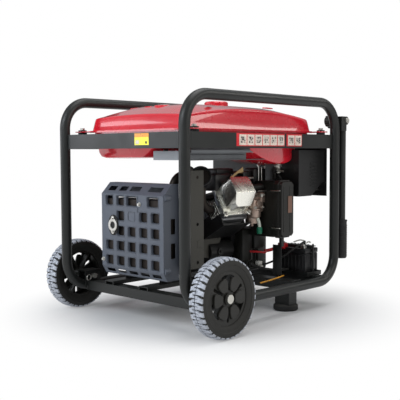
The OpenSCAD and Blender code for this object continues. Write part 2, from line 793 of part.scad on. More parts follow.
module carburettor() {
  color("#a79a86") placed() {
    difference() {
      union() {
        translate([0, port_y, port_z]) along_x(head_w / 2, head_w / 2 + 8, 21);
        block(head_w / 2 + 8, head_w / 2 + 14, carb_y - 22, port_y + 20, port_z - 20, carb_z + 22);
        translate([0, carb_y, carb_z]) along_x(head_w / 2 + 14, air_x0 - 8, 19);
        block(head_w / 2 + 16, air_x0 - 10, carb_y - 21, carb_y + 21, carb_z - 26, carb_z + 24);
        translate([(head_w / 2 + air_x0) / 2 + 2, carb_y, carb_z - 62]) cylinder(h = 38, r = 22);
        translate([(head_w / 2 + air_x0) / 2 + 2, carb_y, carb_z - 72]) cylinder(h = 12, r = 6);
        block(air_x0 - 8, air_x0, carb_y - 24, carb_y + 24, carb_z - 24, carb_z + 24);
        translate([(head_w / 2 + air_x0) / 2 + 2, carb_y, carb_z - 12]) along_y(20, 34, 3);
      }
      translate([0, carb_y, carb_z]) along_x(head_w / 2 + 20, air_x0 + 1, 12);
      translate([(head_w / 2 + air_x0) / 2 + 2, carb_y, carb_z + 10])
        cylinder(h = 20, r = 3 + run_fit);
    }
  }
}

module choke_lever() {
  x = (head_w / 2 + air_x0) / 2 + 2;
  color("#c8cace") placed() translate([x, carb_y, carb_z + 24]) {
    translate([0, 0, -12]) cylinder(h = 16, r = 3);
    translate([0, 0, side_gap]) cylinder(h = 3, r = 8);
    block(-4, 4, -40, 0, side_gap, side_gap + 3);
    translate([0, -40, side_gap]) cylinder(h = 9, r = 5);
  }
}

module air_box() {
  color("#202124") placed() difference() {
    block(air_x0, air_x1, air_y0, air_y1, air_z0, air_z0 + air_h);
    block(air_x0 + 2.5, air_x1 - 2.5, air_y0 - 1, air_y1 - 2.5, air_z0 + 2.5, air_z0 + air_h - 2.5);
    translate([0, carb_y, carb_z]) along_x(air_x0 - 1, air_x0 + 4, 14);
  }
}

module air_box_cover() {
  color("#1a1b1d") placed() difference() {
    union() {
      block(air_x0 - 3, air_x1 + 4, air_y0 - 6, air_y0, air_z0 - 3, air_z0 + air_h + 3);
      block(air_x0 + 1, air_x1 - 1, air_y0 - air_cover, air_y0 - 6, air_z0 + 2, air_z0 + air_h - 2);
    }
    block(air_x0 + 4, air_x1 - 4, air_y0 - air_cover + 3, air_y0 + 1, air_z0 + 5, air_z0 + air_h - 5);
  }
}

module air_filter() {
  color("#d8cf9e") placed()
    block(air_x0 + 3, air_x1 - 3, air_y0, air_y0 + 14, air_z0 + 3, air_z0 + air_h - 3);
}

// ---- exhaust ----

module pipe_run(l) {
  difference() {
    cylinder(h = l, r = pipe_d / 2);
    translate([0, 0, -1]) cylinder(h = l + 2, r = pipe_d / 2 - 1.5);
  }
}

module pipe_turn() {
  rotate_extrude(angle = 90) translate([pipe_bend, 0]) difference() {
    circle(pipe_d / 2);
    circle(pipe_d / 2 - 1.5);
  }
}

module pipe_flange(r, t) {
  difference() {
    cylinder(h = t, r = r);
    translate([0, 0, -1]) cylinder(h = t + 2, r = pipe_d / 2 - 1.5);
  }
}

module exhaust_pipe() {
  head_x = -head_w / 2;
  down = port_z + pipe_bend;
  mid_x = head_x - 8 - pipe_bend;
  up = pipe_z - pipe_bend;
  color("#6f6257") placed() translate([0, port_y, 0]) {
    // Out of the head and up
    translate([head_x - 8, 0, port_z]) rotate([0, 90, 0]) pipe_run(8);
    translate([head_x - 6, 0, port_z]) rotate([0, 90, 0]) pipe_flange(24, 6);
    translate([head_x - 8, 0, down]) rotate([90, 0, 0]) rotate([0, 0, 180]) pipe_turn();
    translate([mid_x, 0, down]) pipe_run(up - down);
    // Back over the alternator
    translate([mid_x - pipe_bend, 0, up]) rotate([90, 0, 0]) pipe_turn();
    translate([pipe_x + pipe_bend, 0, pipe_z]) rotate([0, 90, 0])
      pipe_run(mid_x - 2 * pipe_bend - pipe_x);
    translate([mid_x - pipe_bend - 14, 0, pipe_z]) rotate([0, 90, 0]) pipe_flange(27, 7);
    // Down into the muffler
    translate([pipe_x + pipe_bend, 0, up]) rotate([90, 0, 0]) rotate([0, 0, 90]) pipe_turn();
    translate([pipe_x, 0, muf_top - bite]) pipe_run(up - muf_top + bite);
    translate([pipe_x, 0, muf_top]) pipe_flange(19, 5);
  }
}

module muffler_body() {
  y0 = guard_y - muf_w / 2;
  y1 = guard_y + muf_w / 2;
  color("#77797c") placed() {
    difference() {
      union() {
        translate([muf_x0, guard_y, (muf_low + muf_top) / 2]) rotate([0, 90, 0])
          linear_extrude(muf_x1 - muf_x0) round_rect(muf_top - muf_low, muf_w, 10);
        // Bracket plate to the alternator's end
        block(muf_x1, bell_x0, crank_y - 60, crank_y + 60, crank_z - 50, crank_z + 50);
      }
      translate([muf_x0 + 1.5, guard_y, (muf_low + muf_top) / 2]) rotate([0, 90, 0])
        linear_extrude(muf_x1 - muf_x0 - 3) round_rect(muf_top - muf_low - 3, muf_w - 3, 8.5);
      translate([pipe_x, port_y, muf_top - 5]) cylinder(h = 10, r = pipe_d / 2 - 1.5);
      translate([0, outlet_y, outlet_z]) along_x(muf_x0 - 1, muf_x0 + 3, outlet_d / 2 + 1);
      translate([0, crank_y, crank_z]) along_x(muf_x1 + eps, bell_x0 + 1, 34);
    }
  }
}

// Side profile of the guard, in x and z
module guard_profile(o) {
  polygon([[guard_x0 + o, guard_z + o * 0.4], [guard_x0 + o, guard_z + guard_h - o * 0.4],
    [guard_x0 + guard_bevel + o * 0.4, guard_z + guard_h + guard_bevel - o],
    [guard_x1 + (o > 0 ? 1 : 0), guard_z + guard_h + guard_bevel - o],
    [guard_x1 + (o > 0 ? 1 : 0), guard_z - guard_foot + o],
    [guard_x0 + guard_foot * 0.6 + o * 0.4, guard_z - guard_foot + o]]);
}

module muffler_guard() {
  pitch = guard_w / 5.4;
  row = guard_h / 4.85;
  color("#5b6670") placed() {
    difference() {
      translate([0, guard_y + guard_w / 2, 0]) rotate([90, 0, 0]) linear_extrude(guard_w)
        guard_profile(0);
      translate([0, guard_y + guard_w / 2 - 1.5, 0]) rotate([90, 0, 0]) linear_extrude(guard_w - 3)
        guard_profile(1.5);
      // Square vents in five rows, none where the outlet and the blind squares are
      for (i = [0:4], j = [0:4])
        if (!(i == 4 && (j == 2 || j == 3)) && !(i == 2 && j == 3) && !(i == 1 && j == 4))
          translate([guard_x0, guard_y + (i - (i == 0 && j == 4 ? 1.8 : 2)) * pitch,
            guard_z + guard_h / 2 + (j - 2) * row])
              cube([3, pitch * (j == 4 && i % 2 == 0 && i < 4 ? 0.95 : 0.7), row * 0.68], center = true);
      // Slots in the sloping top and in the bottom edge
      for (s = [[2, 0.66], [1, 0.66], [-0.05, 0.9], [-1.75, 1.1]]) translate([guard_x0 + guard_bevel / 2,
        guard_y + s[0] * pitch, guard_z + guard_h + guard_bevel / 2]) rotate([0, 45, 0])
          cube([12, pitch * s[1], 19], center = true);
      for (i = [0:4]) translate([guard_x0 + 7, guard_y + (i - 2) * pitch, guard_z - guard_foot / 2])
        cube([30, pitch * 0.72, 10], center = true);
      // Tall slots in the sides
      for (z = [0.28, 0.6], s = [-1, 1]) translate([guard_x0 + guard_t * 0.62,
        guard_y + s * guard_w / 2, guard_z + guard_h * z])
          cube([18, 6, guard_h * 0.2], center = true);
      // Notch for the exhaust pipe and window round the outlet
      translate([pipe_x, port_y, muf_top]) cylinder(h = 100, r = pipe_d / 2 + 3);
      translate([0, outlet_y, outlet_z]) along_x(guard_x0 - 1, guard_x0 + 3, outlet_d / 2 + 5.5);
    }
    // Turned-down rear edge above the muffler, notched for the pipe
    difference() {
      block(guard_x1 - 1.5, guard_x1, guard_y - guard_w / 2 + 1.5 - eps, guard_y + guard_w / 2 - 1.5 + eps,
        muf_top + 2, guard_z + guard_h + guard_bevel - 1.5 + eps);
      translate([pipe_x, port_y, muf_top]) cylinder(h = 100, r = pipe_d / 2 + 17);
    }
    // Tabs to the muffler's sides
    for (s = [-1, 1], z = [guard_z + 20, guard_z + guard_h - 60])
      block(guard_x1 - 12, guard_x1, s > 0 ? guard_y + muf_w / 2 : guard_y - guard_w / 2 + 1.5 - eps,
        s > 0 ? guard_y + guard_w / 2 - 1.5 + eps : guard_y - muf_w / 2, z, z + 16);
  }
}

module exhaust_outlet() {
  color("#b4b7ba") placed() translate([0, outlet_y, outlet_z]) difference() {
    union() {
      along_x(guard_x0 - 1, muf_x0, outlet_d / 2 + 4);
      rotate([0, -90, 0]) translate([0, 0, -guard_x0]) linear_extrude(5) {
        circle(outlet_d / 2 + 9);
        for (s = [-1, 1]) translate([s * outlet_studs / 2, 0]) circle(7.5);
        square([outlet_studs, 15], center = true);
      }
      for (s = [-1, 1]) translate([0, 0, s * outlet_studs / 2])
        along_x(guard_x0 - 9, guard_x0 - 4, 3);
    }
    along_x(guard_x0 - 10, muf_x0 + 1, outlet_d / 2);
  }
}

module side_heat_shield() {
  y = guard_y - guard_w / 2 - 25;
  x0 = guard_x1 - 2;
  x1 = x0 + 80;
  color("#4a4a42") placed() {
    difference() {
      union() {
        block(x0, x1, y - 1.5, y, 168, 460);
        block(x1 - 1.5, x1, y - 1.5, y + 14, 168, 460);
        for (z = [200, 330]) block(guard_x1 + 2, guard_x1 + 14, y - eps, guard_y - muf_w / 2, z, z + 16);
      }
      for (z = [186, 300, 440]) translate([x0 + 54, 0, z]) along_y(y - 3, y + 1, 5);
    }
    translate([x0 + 62, 0, 240]) block(-10, 10, y - 2.6, y - 1.5 + eps, -10, 10);
  }
}

// ---- alternator ----

module stator() {
  color("#5f6266") at_crank() difference() {
    along_x(stator_x0, stator_x1, alt_r);
    along_x(stator_x0 - 1, stator_x1 + 1, rotor_r + air_gap);
    for (a = [45:90:315]) rotate([a, 0, 0]) block(stator_x0 - 1, stator_x1 + 1, alt_r - 3, alt_r + 5, -7, 7);
  }
}

module rotor() {
  color("#8a5a34") at_crank() difference() {
    along_x(stator_x0 + 3, stator_x1 - 3, rotor_r);
    along_x(stator_x0, stator_x1, shaft_d / 2 - bite / 2);
    for (a = [0, 180]) rotate([a, 0, 0]) block(stator_x0, stator_x1, 34, 80, -12, 12);
  }
}

module alternator_ends() {
  color("#a6a9ad") at_crank() {
    difference() {
      along_x(stator_x1, -half_case, alt_r);
      along_x(stator_x1 - 1, -half_case + 1, case_r - 6);
      for (a = [0:60:300]) rotate([a + 20, 0, 0]) block(stator_x1 + 6, -half_case - 6, 60, 110, -16, 16);
    }
    difference() {
      union() {
        along_x(bell_x0, stator_x0, alt_r);
        block(bell_x0 + 4, bell_x0 + 40, -100, 100, -crank_h, -crank_h + 12);
        block(bell_x0 + 4, bell_x0 + 40, -60, 60, -crank_h, -70);
      }
      difference() {
        along_x(bell_x0 + 6, stator_x0 + 1, alt_r - 6);
        along_x(bell_x0, bell_x0 + 34, 24);
      }
      along_x(bell_x0 + 10, stator_x0 + 1, shaft_d / 2 + run_fit);
      for (a = [0:45:315]) rotate([a + 22.5, 0, 0]) block(bell_x0 - 1, bell_x0 + 7, 40, 84, -7, 7);
    }
  }
}

// ---- electrics ----

module panel_side() {
  polygon([[panel_x0, panel_low], [panel_x0 + 70, panel_low], [panel_x0 + 134, panel_low + 44],
    [panel_x1, panel_low + 44], [panel_x1, panel_top], [panel_x0, panel_top]]);
}

module panel_box() {
  color("#1c1d1f") placed() translate([0, panel_y0 + panel_w, 0]) rotate([90, 0, 0]) difference() {
    linear_extrude(panel_w) panel_side();
    translate([0, 0, 1.5]) linear_extrude(panel_w - 3)
      polygon([[panel_x0 + 1.5, panel_low + 1.5], [panel_x0 + 69.5, panel_low + 1.5],
        [panel_x0 + 133.5, panel_low + 45.5], [panel_x1 + 1, panel_low + 45.5],
        [panel_x1 + 1, panel_top - 1.5], [panel_x0 + 1.5, panel_top - 1.5]]);
  }
}

face_z = panel_low + 98;

module panel_face() {
  color("#232528") placed() difference() {
    block(panel_x1, panel_x1 + 3, panel_y0 - 4, panel_y0 + panel_w + 4, panel_low - 4, rail_top - 6);
    for (y = [60, 115]) block(panel_x1 - 1, panel_x1 + 4, panel_y0 + y - 16, panel_y0 + y + 16,
      face_z - 32, face_z + 32);
    translate([0, panel_y0 + 180, face_z]) along_x(panel_x1 - 1, panel_x1 + 4, 23.1);
    block(panel_x1 - 1, panel_x1 + 4, panel_y0 + 226, panel_y0 + 254, face_z - 22, face_z + 22);
    translate([0, panel_y0 + 300, face_z]) along_x(panel_x1 - 1, panel_x1 + 4, 10 + run_fit);
    translate([0, panel_y0 + 30, panel_low + 18]) along_x(panel_x1 - 1, panel_x1 + 4, earth_d / 2 + bite / 4);
  }
}

module outlets() {
  color("#2d2a2a") placed() {
    for (y = [60, 115]) translate([panel_x1, panel_y0 + y, face_z]) difference() {
      union() {
        block(-26, 5, -16, 16, -32, 32);
        block(3, 5, -19, 19, -48, 48);
      }
      for (z = [-18, 18], s = [-1, 1]) block(-6, 6, s * 6.5 - 1.2, s * 6.5 + 1.2, z - 4, z + 4);
      for (z = [-27, 9]) translate([0, 0, z]) along_x(-6, 6, 2.6);
    }
    translate([panel_x1, panel_y0 + 180, face_z]) difference() {
      union() {
        along_x(-34, 6, 23);
        along_x(3, 6, 29);
      }
      for (a = [0:90:270]) rotate([a, 0, 0]) block(-8, 7, 11, 14, -5, 5);
    }
    translate([panel_x1, panel_y0 + 240, face_z]) difference() {
      union() {
        block(-40, 6, -14, 14, -22, 22);
        block(3, 6, -20, 20, -30, 30);
      }
      block(-14, 7, -7, 7, -14, 14);
    }
  }
}

module breaker_lever() {
  color("#c7c9cc") placed() translate([panel_x1 - 4, panel_y0 + 240, face_z]) {
    along_y(-6.4, 6.4, 6);
    rotate([0, -18, 0]) block(0, 19, -6, 6, -4, 4);
  }
}

module ignition_key() {
  color("#b0b3b6") placed() translate([panel_x1, panel_y0 + 300, face_z]) {
    along_x(-28, 8, 10);
    along_x(3 + side_gap, 8, 14);
    block(8 - eps, 14, -2, 2, -5, 5);
    block(13, 34, -1.5, 1.5, -12, 12);
  }
}

module battery_tray() {
  x0 = batt_x0 - 4;
  x1 = batt_x0 + batt_x + 4;
  y0 = batt_y0 - 12;
  y1 = batt_y0 + batt_y + 12;
  z1 = batt_z0 + batt_z;
  xm = batt_x0 + batt_x / 2;
  color("#2b2e31") placed() {
    difference() {
      block(x0, x1, y0, y1, batt_z0 - tray_t, batt_z0 + 12);
      block(x0 + tray_t, x1 - tray_t, y0 + tray_t, y1 - tray_t, batt_z0, batt_z0 + 13);
    }
    // Hold-down strap over the top, on two long bolts
    block(xm - 10, xm + 10, y0 + tray_t, y1 - tray_t, z1 + 0.5, z1 + 3);
    for (y = [y0 + 6, y1 - 6]) translate([xm, y, batt_z0]) cylinder(h = z1 - batt_z0 + 9, r = 3);
  }
}

module battery_case() {
  xm = batt_x0 + batt_x / 2;
  color("#1d1d1f") placed() {
    block(batt_x0, batt_x0 + batt_x, batt_y0, batt_y0 + batt_y, batt_z0, batt_z0 + batt_z);
    for (y = [24, batt_y - 24]) translate([batt_x0 + 16, batt_y0 + y, batt_z0 + batt_z])
      cylinder(h = 9, r = 6);
  }
}

// ---- wheels ----

module wheel_tyre(side) {
  r = tyre_d / 2;
  h = tyre_w / 2;
  color("#2a2c2e") placed() translate([wheel_x, side * (wheel_y + h), r]) rotate([90, 0, 0])
    rotate_extrude($fn = 96) polygon([[rim_d / 2 - bite, -h + 8], [rim_d / 2 + 6, -h + 3],
      [r - 14, -h], [r - 5, -h + 4], [r, -h + 12], [r, h - 12], [r - 5, h - 4], [r - 14, h],
      [rim_d / 2 + 6, h - 3], [rim_d / 2 - bite, h - 8]]);
}

module tyre_left() wheel_tyre(-1);

module tyre_right() wheel_tyre(1);

module wheel_hub(side) {
  r = rim_d / 2;
  h = tyre_w / 2;
  inner = h + tyre_gap - 5 - side_gap + bite;
  color("#303335") placed() translate([wheel_x, side * (wheel_y + h), tyre_d / 2])
    rotate([0, 0, side > 0 ? 180 : 0]) rotate([90, 0, 0]) difference() {
      union() {
        rotate_extrude($fn = 96) polygon([[r - 6, -h + 8], [r, -h + 8], [r, h - 8], [r - 6, h - 8]]);
        translate([0, 0, h - 14]) cylinder(h = 6, r = r - 5, $fn = 96);
        translate([0, 0, -inner]) cylinder(h = inner + h - 2, r = 17);
        for (a = [0:60:300]) rotate(a) block(10, r - 5, -3, 3, -h + 12, h - 12);
      }
      translate([0, 0, -inner - 1]) cylinder(h = 2 * tyre_w + inner, r = axle_d / 2 + run_fit);
      for (a = [0:120:240]) rotate(a + 90) linear_extrude(60)
        polygon([[24, -5], [60, -27], [66, -14], [66, 14], [60, 27], [24, 5]]);
      for (a = [0:120:240]) rotate(a + 30) linear_extrude(60)
        polygon([[26, -3], [64, -5], [66, 0], [64, 5], [26, 3]]);
    }
}

module hub_left() wheel_hub(-1);

module hub_right() wheel_hub(1);

module axle_pins() {
  z = tyre_d / 2;
  out = wheel_y + tyre_w - 2 + side_gap;
  in = hy - tr - 5 - 11;
  color("#c4c6c9") placed() for (s = [0, 1]) translate([wheel_x, 0, z]) mirror([0, s, 0]) {
    difference() {
      union() {
        along_y(in, out + eps, axle_d / 2);
        along_y(out, out + 4, 12.5);
      }
      translate([0, in + 5, 0]) rotate([0, -100, 0]) translate([0, 0, -20]) cylinder(h = 40, r = 1.7);
    }
    // R-clip: straight leg through the pin, ring beside it
    translate([0, in + 5, 0]) rotate([0, -100, 0]) {
      translate([0, 0, -14]) cylinder(h = 28, r = 1.4);
      translate([0, 0, 22]) rotate([90, 0, 0]) rotate_extrude() translate([8.6, 0]) circle(1.4);
    }
  }
}

// ---- handles ----

module handle_brackets() {
  cheek = handle_d / 2 + side_gap;
  color("#30353a") placed() for (s = [-1, 1]) translate([pivot_x, s * hy, pivot_z]) difference() {
    union() {
      block(-pivot_out + tr - bite, -pivot_out + tr + 4, -cheek - 4, cheek + 4, -34, 14);
      for (t = [-1, 1]) translate([0, t * (cheek + 2), 0]) {
        block(-pivot_out + tr, 0, -2, 2, -34, 14);
        along_y(-2, 2, 14);
      }
    }
    along_y(-40, 40, pivot_d / 2 + run_fit);
  }
}

module handle(side) {
  color("#30353a") placed() translate([pivot_x, side * hy, pivot_z]) difference() {
    translate([0, 0, -handle_len]) cylinder(h = handle_len + 13, r = handle_d / 2);
    translate([0, 0, -handle_len - 1]) cylinder(h = handle_len - 17, r = handle_d / 2 - tube_wall);
    along_y(-40, 40, pivot_d / 2 + run_fit);
  }
}

module handle_left() handle(-1);

module handle_right() handle(1);

module grip(side) {
  top = -handle_len + grip_len - 4;
  color("#161617") placed() translate([pivot_x, side * hy, pivot_z]) difference() {
    union() {
      translate([0, 0, -handle_len - 4]) cylinder(h = grip_len, r = grip_d / 2);
      translate([0, 0, top - 5]) cylinder(h = 5, r = grip_d / 2 + 4);
      for (i = [0:12]) translate([0, 0, -handle_len + 6 + i * grip_len / 15]) cylinder(h = 3, r = grip_d / 2 + 1);
    }
    translate([0, 0, -handle_len]) cylinder(h = grip_len + 10, r = handle_d / 2 - bite / 2);
  }
}

module grip_left() grip(-1);

module grip_right() grip(1);

module lock_knob(side) {
  from = handle_d / 2 + side_gap + 4 + side_gap;
  color("#18191b") placed() translate([pivot_x, side * hy, pivot_z])
    rotate([0, 0, side > 0 ? 180 : 0]) difference() {
      union() {
        along_y(from, from + 6, 13);
        difference() {
          along_y(from + 6, from + 24, knob_r);
          for (a = [0:45:315]) rotate([0, a, 0]) translate([knob_r + 6, 0, 0])
            along_y(from + 5, from + 25, 10);
        }
      }
      along_y(from - 1, handle_d / 2 + side_gap + 30, pivot_d / 2 + run_fit);
    }
}

module knob_left() lock_knob(-1);

module knob_right() lock_knob(1);

hoop_left();
hoop_right();
tank_rails();
cross_members();
engine_rails();
rubber_feet();
rubber_mounts();
bolts();
battery_tray();
battery_case();
hoses_leads();
tank_upper();
tank_lower();
tank_heat_shield();
fuel_cap();
fuel_gauge();
fuel_valve();
fuel_valve_lever();
crankcase();
cylinder_barrel();
cylinder_head();
valve_cover();
spark_plug();
carburettor();
choke_lever();
air_box();
air_box_cover();
air_filter();
exhaust_pipe();
muffler_body();
muffler_guard();
exhaust_outlet();
side_heat_shield();
fan_shroud();
recoil_cover();
recoil_grip();
flywheel();
crankshaft();
piston();
starter_motor();
stator();
rotor();
alternator_ends();
panel_box();
panel_face();
outlets();
breaker_lever();
ignition_key();
tyre_left();
tyre_right();
hub_left();
hub_right();
axle_pins();
handle_left();
handle_right();
grip_left();
grip_right();
handle_brackets();
knob_left();
knob_right();
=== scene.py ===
import math

import bmesh
import bpy
from mathutils import Matrix, Vector


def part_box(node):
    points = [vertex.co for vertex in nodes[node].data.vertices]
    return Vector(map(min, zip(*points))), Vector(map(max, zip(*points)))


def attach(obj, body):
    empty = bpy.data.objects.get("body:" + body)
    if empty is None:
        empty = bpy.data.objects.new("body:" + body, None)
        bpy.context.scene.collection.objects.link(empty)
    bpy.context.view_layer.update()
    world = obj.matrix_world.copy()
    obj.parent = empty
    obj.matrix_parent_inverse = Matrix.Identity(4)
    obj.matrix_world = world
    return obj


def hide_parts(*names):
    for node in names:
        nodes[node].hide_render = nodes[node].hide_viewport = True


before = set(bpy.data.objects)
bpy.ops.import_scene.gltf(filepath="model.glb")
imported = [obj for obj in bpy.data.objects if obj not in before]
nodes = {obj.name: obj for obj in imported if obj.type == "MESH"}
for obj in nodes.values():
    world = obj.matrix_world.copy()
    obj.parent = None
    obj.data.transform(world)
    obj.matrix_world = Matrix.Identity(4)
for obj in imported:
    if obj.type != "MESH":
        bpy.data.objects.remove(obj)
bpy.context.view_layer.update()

# ---- studio ---------------------------------------------------------------------------------
# The set stands on a seamless pale floor. A large soft box on the muffler side gives the main
# light, a wide panel overhead rounds the tank, and the cylinder side stays in soft shade.

scene = bpy.context.scene


def aimed(place, target):
    """A matrix at place whose -Z axis looks at target, with +Y kept upright."""
    turn = (Vector(target) - Vector(place)).to_track_quat("-Z", "Y")
    return Matrix.Translation(place) @ turn.to_matrix().to_4x4()


def soft_box(name, place, target, width, height, power, tint=(1, 1, 1)):
    light = bpy.data.lights.new(name, "AREA")
    light.shape = "RECTANGLE"
    light.size, light.size_y = width, height
    light.energy, light.color = power, tint
    lamp = bpy.data.objects.new(name, light)
    lamp.matrix_world = aimed(place, target)
    scene.collection.objects.link(lamp)


camera_data = bpy.data.cameras.new("camera")
camera_data.lens, camera_data.sensor_width = 68.04, 36.0
camera_data.shift_y = 0.0017
camera = bpy.data.objects.new("camera", camera_data)
heading, dip, lean = math.radians(-46.02), math.radians(3.63), math.radians(-0.23)
camera.matrix_world = (Matrix.Translation((-1.8108, -1.7068, 0.5122)) @ Matrix.Rotation(heading, 4, "Z")
                       @ Matrix.Rotation(math.pi / 2 - dip, 4, "X") @ Matrix.Rotation(lean, 4, "Z"))
scene.collection.objects.link(camera)
scene.camera = camera
scene.view_settings.view_transform = "Standard"

soft_box("key_box", (-3.0, 0.2, 2.0), (0, 0, 0.35), 2.0, 1.6, 72, (0.88, 0.94, 1.0))
soft_box("side_sheen", (-2.5, 2.5, 0.95), (0, 0, 0.45), 1.9, 1.2, 27, (0.90, 0.93, 1.0))
soft_box("top_panel", (0.4, -0.4, 3.0), (0, 0, 0.5), 2.6, 2.0, 50)
soft_box("engine_light", (2.3, -2.1, 2.0), (0, -0.15, 0.35), 1.3, 0.9, 15, (1.0, 0.98, 0.93))
soft_box("front_fill", (0.9, -3.6, 1.6), (0.1, 0, 0.35), 1.8, 1.2, 22, (1.0, 0.97, 0.92))

# Bright above and dim near the ground, as in a room with a lit ceiling; plain white where seen
sky = bpy.data.worlds.new("white_room")
sky.use_nodes = True
room = sky.node_tree
room.nodes.clear()
toward = room.nodes.new("ShaderNodeTexCoord")
parts = room.nodes.new("ShaderNodeSeparateXYZ")
height = room.nodes.new("ShaderNodeMapRange")
height.inputs["From Min"].default_value, height.inputs["From Max"].default_value = 0.0, 0.30
height.inputs["To Min"].default_value, height.inputs["To Max"].default_value = 0.04, 0.42
felt = room.nodes.new("ShaderNodeBackground")
felt.inputs["Color"].default_value = (0.94, 0.97, 1.0, 1)
seen = room.nodes.new("ShaderNodeBackground")
seen.inputs["Color"].default_value = (1, 1, 1, 1)
ray = room.nodes.new("ShaderNodeLightPath")
pick = room.nodes.new("ShaderNodeMixShader")
out = room.nodes.new("ShaderNodeOutputWorld")
for start, end in ((toward.outputs["Generated"], parts.inputs["Vector"]),
                   (parts.outputs["Z"], height.inputs["Value"]),
                   (height.outputs["Result"], felt.inputs["Strength"]),
                   (ray.outputs["Is Camera Ray"], pick.inputs[0]),
                   (felt.outputs[0], pick.inputs[1]), (seen.outputs[0], pick.inputs[2]),
                   (pick.outputs[0], out.inputs["Surface"])):
    room.links.new(start, end)
scene.world = sky

# The floor keeps its shadow round the set and fades into the white room further out
bpy.ops.mesh.primitive_plane_add(size=60, location=(0, 0, 0))
floor = bpy.context.object
floor.name = "floor"
floor_paint = bpy.data.materials.new("floor_paint")
floor_paint.use_nodes = True
ground = floor_paint.node_tree
matt = ground.nodes["Principled BSDF"]
matt.inputs["Base Color"].default_value = (0.60, 0.60, 0.605, 1)
matt.inputs["Roughness"].default_value = 0.9
matt.inputs["Specular IOR Level"].default_value = 0.0
lit = ground.nodes.new("ShaderNodeEmission")
blend = ground.nodes.new("ShaderNodeMixShader")
spot = ground.nodes.new("ShaderNodeTexCoord")
reach = ground.nodes.new("ShaderNodeVectorMath")
reach.operation = "LENGTH"
fade = ground.nodes.new("ShaderNodeMapRange")
fade.interpolation_type = "SMOOTHSTEP"
fade.inputs["From Min"].default_value, fade.inputs["From Max"].default_value = 0.30, 0.72
for start, end in ((spot.outputs["Object"], reach.inputs[0]), (reach.outputs["Value"], fade.inputs["Value"]),
                   (fade.outputs["Result"], blend.inputs[0]), (matt.outputs[0], blend.inputs[1]),
                   (lit.outputs[0], blend.inputs[2]),
                   (blend.outputs[0], ground.nodes["Material Output"].inputs["Surface"])):
    ground.links.new(start, end)
floor.data.materials.append(floor_paint)

# ---- frame ----------------------------------------------------------------------------------
# Two side hoops of bent steel tube are joined by folded tank rails and by box-section cross
# members, welded with small beads, then blasted and powder coated a satin blackish grey.


def shader_group(name, inputs, outputs):
    """An empty shader group with the named sockets; returns it with its input and output nodes."""
    group = bpy.data.node_groups.new(name, "ShaderNodeTree")
    for label, kind, value in inputs:
        socket = group.interface.new_socket(label, in_out="INPUT", socket_type="NodeSocket" + kind)
        if value is not None:
            socket.default_value = value
    for label, kind in outputs:
        group.interface.new_socket(label, in_out="OUTPUT", socket_type="NodeSocket" + kind)
    return group, group.nodes.new("NodeGroupInput"), group.nodes.new("NodeGroupOutput")


def wire(tree, *pairs):
    for start, end in pairs:
        tree.links.new(start, end)


def math_node(tree, kind, first=None, second=None):
    """A math node; each operand is a socket or a number."""
    node = tree.nodes.new("ShaderNodeMath")
    node.operation = kind
    for place, value in enumerate((first, second)):
        if isinstance(value, (int, float)):
            node.inputs[place].default_value = value
        elif value is not None:
            tree.links.new(value, node.inputs[place])
    return node.outputs[0]


def noise(tree, vector, scale, detail):
    node = tree.nodes.new("ShaderNodeTexNoise")
    node.inputs["Detail"].default_value = detail
    node.inputs["Roughness"].default_value = 0.55
    if isinstance(scale, (int, float)):
        node.inputs["Scale"].default_value = scale
    else:
        tree.links.new(scale, node.inputs["Scale"])
    tree.links.new(vector, node.inputs["Vector"])
    return node.outputs["Fac"]


def spread(tree, value, low, high, to_low=0.0, to_high=1.0):
    node = tree.nodes.new("ShaderNodeMapRange")
    for label, number in zip(("From Min", "From Max", "To Min", "To Max"), (low, high, to_low, to_high)):
        node.inputs[label].default_value = number
    tree.links.new(value, node.inputs["Value"])
    return node.outputs["Result"]


# Rounds hard edges by a hair and finds where paint or plating has rubbed thin on them
edge_wear, given, made = shader_group(
    "edge_wear", [("Vector", "Vector", None), ("Radius", "Float", 0.0012), ("Wear", "Float", 0.5)],
    [("Mask", "Float"), ("Normal", "Vector")])
soft_edge = edge_wear.nodes.new("ShaderNodeBevel")
soft_edge.samples = 4
flat_edge = edge_wear.nodes.new("ShaderNodeNewGeometry")
likeness = edge_wear.nodes.new("ShaderNodeVectorMath")
likeness.operation = "DOT_PRODUCT"
wire(edge_wear, (given.outputs["Radius"], soft_edge.inputs["Radius"]),
     (soft_edge.outputs["Normal"], likeness.inputs[0]), (flat_edge.outputs["Normal"], likeness.inputs[1]),
     (soft_edge.outputs["Normal"], made.inputs["Normal"]))
turned_away = math_node(edge_wear, "SUBTRACT", 1.0, likeness.outputs["Value"])
patchy = spread(edge_wear, noise(edge_wear, given.outputs["Vector"], 55.0, 4), 0.42, 0.68)
rubbed = math_node(edge_wear, "MULTIPLY", spread(edge_wear, turned_away, 0.03, 0.22), patchy)
wire(edge_wear, (math_node(edge_wear, "MULTIPLY", rubbed, given.outputs["Wear"]), made.inputs["Mask"]))

# Fine grain of a coating or a casting, with slow cloudy changes over a hand's width
grain, given, made = shader_group(
    "grain", [("Vector", "Vector", None), ("Scale", "Float", 900.0)],
    [("Fine", "Float"), ("Cloud", "Float")])
wire(grain, (noise(grain, given.outputs["Vector"], given.outputs["Scale"], 2), made.inputs["Fine"]),
     (noise(grain, given.outputs["Vector"], 9.0, 4), made.inputs["Cloud"]))

# Workshop dust that settles on what faces up and gathers in patches
dust, given, made = shader_group("dust", [("Vector", "Vector", None), ("Amount", "Float", 0.3)],
                                 [("Mask", "Float")])
facing = dust.nodes.new("ShaderNodeNewGeometry")
split = dust.nodes.new("ShaderNodeSeparateXYZ")
wire(dust, (facing.outputs["Normal"], split.inputs["Vector"]))
settled = math_node(dust, "MULTIPLY", spread(dust, split.outputs["Z"], 0.25, 0.95),
                    spread(dust, noise(dust, given.outputs["Vector"], 24.0, 5), 0.35, 0.75))
wire(dust, (math_node(dust, "MULTIPLY", settled, given.outputs["Amount"]), made.inputs["Mask"]))

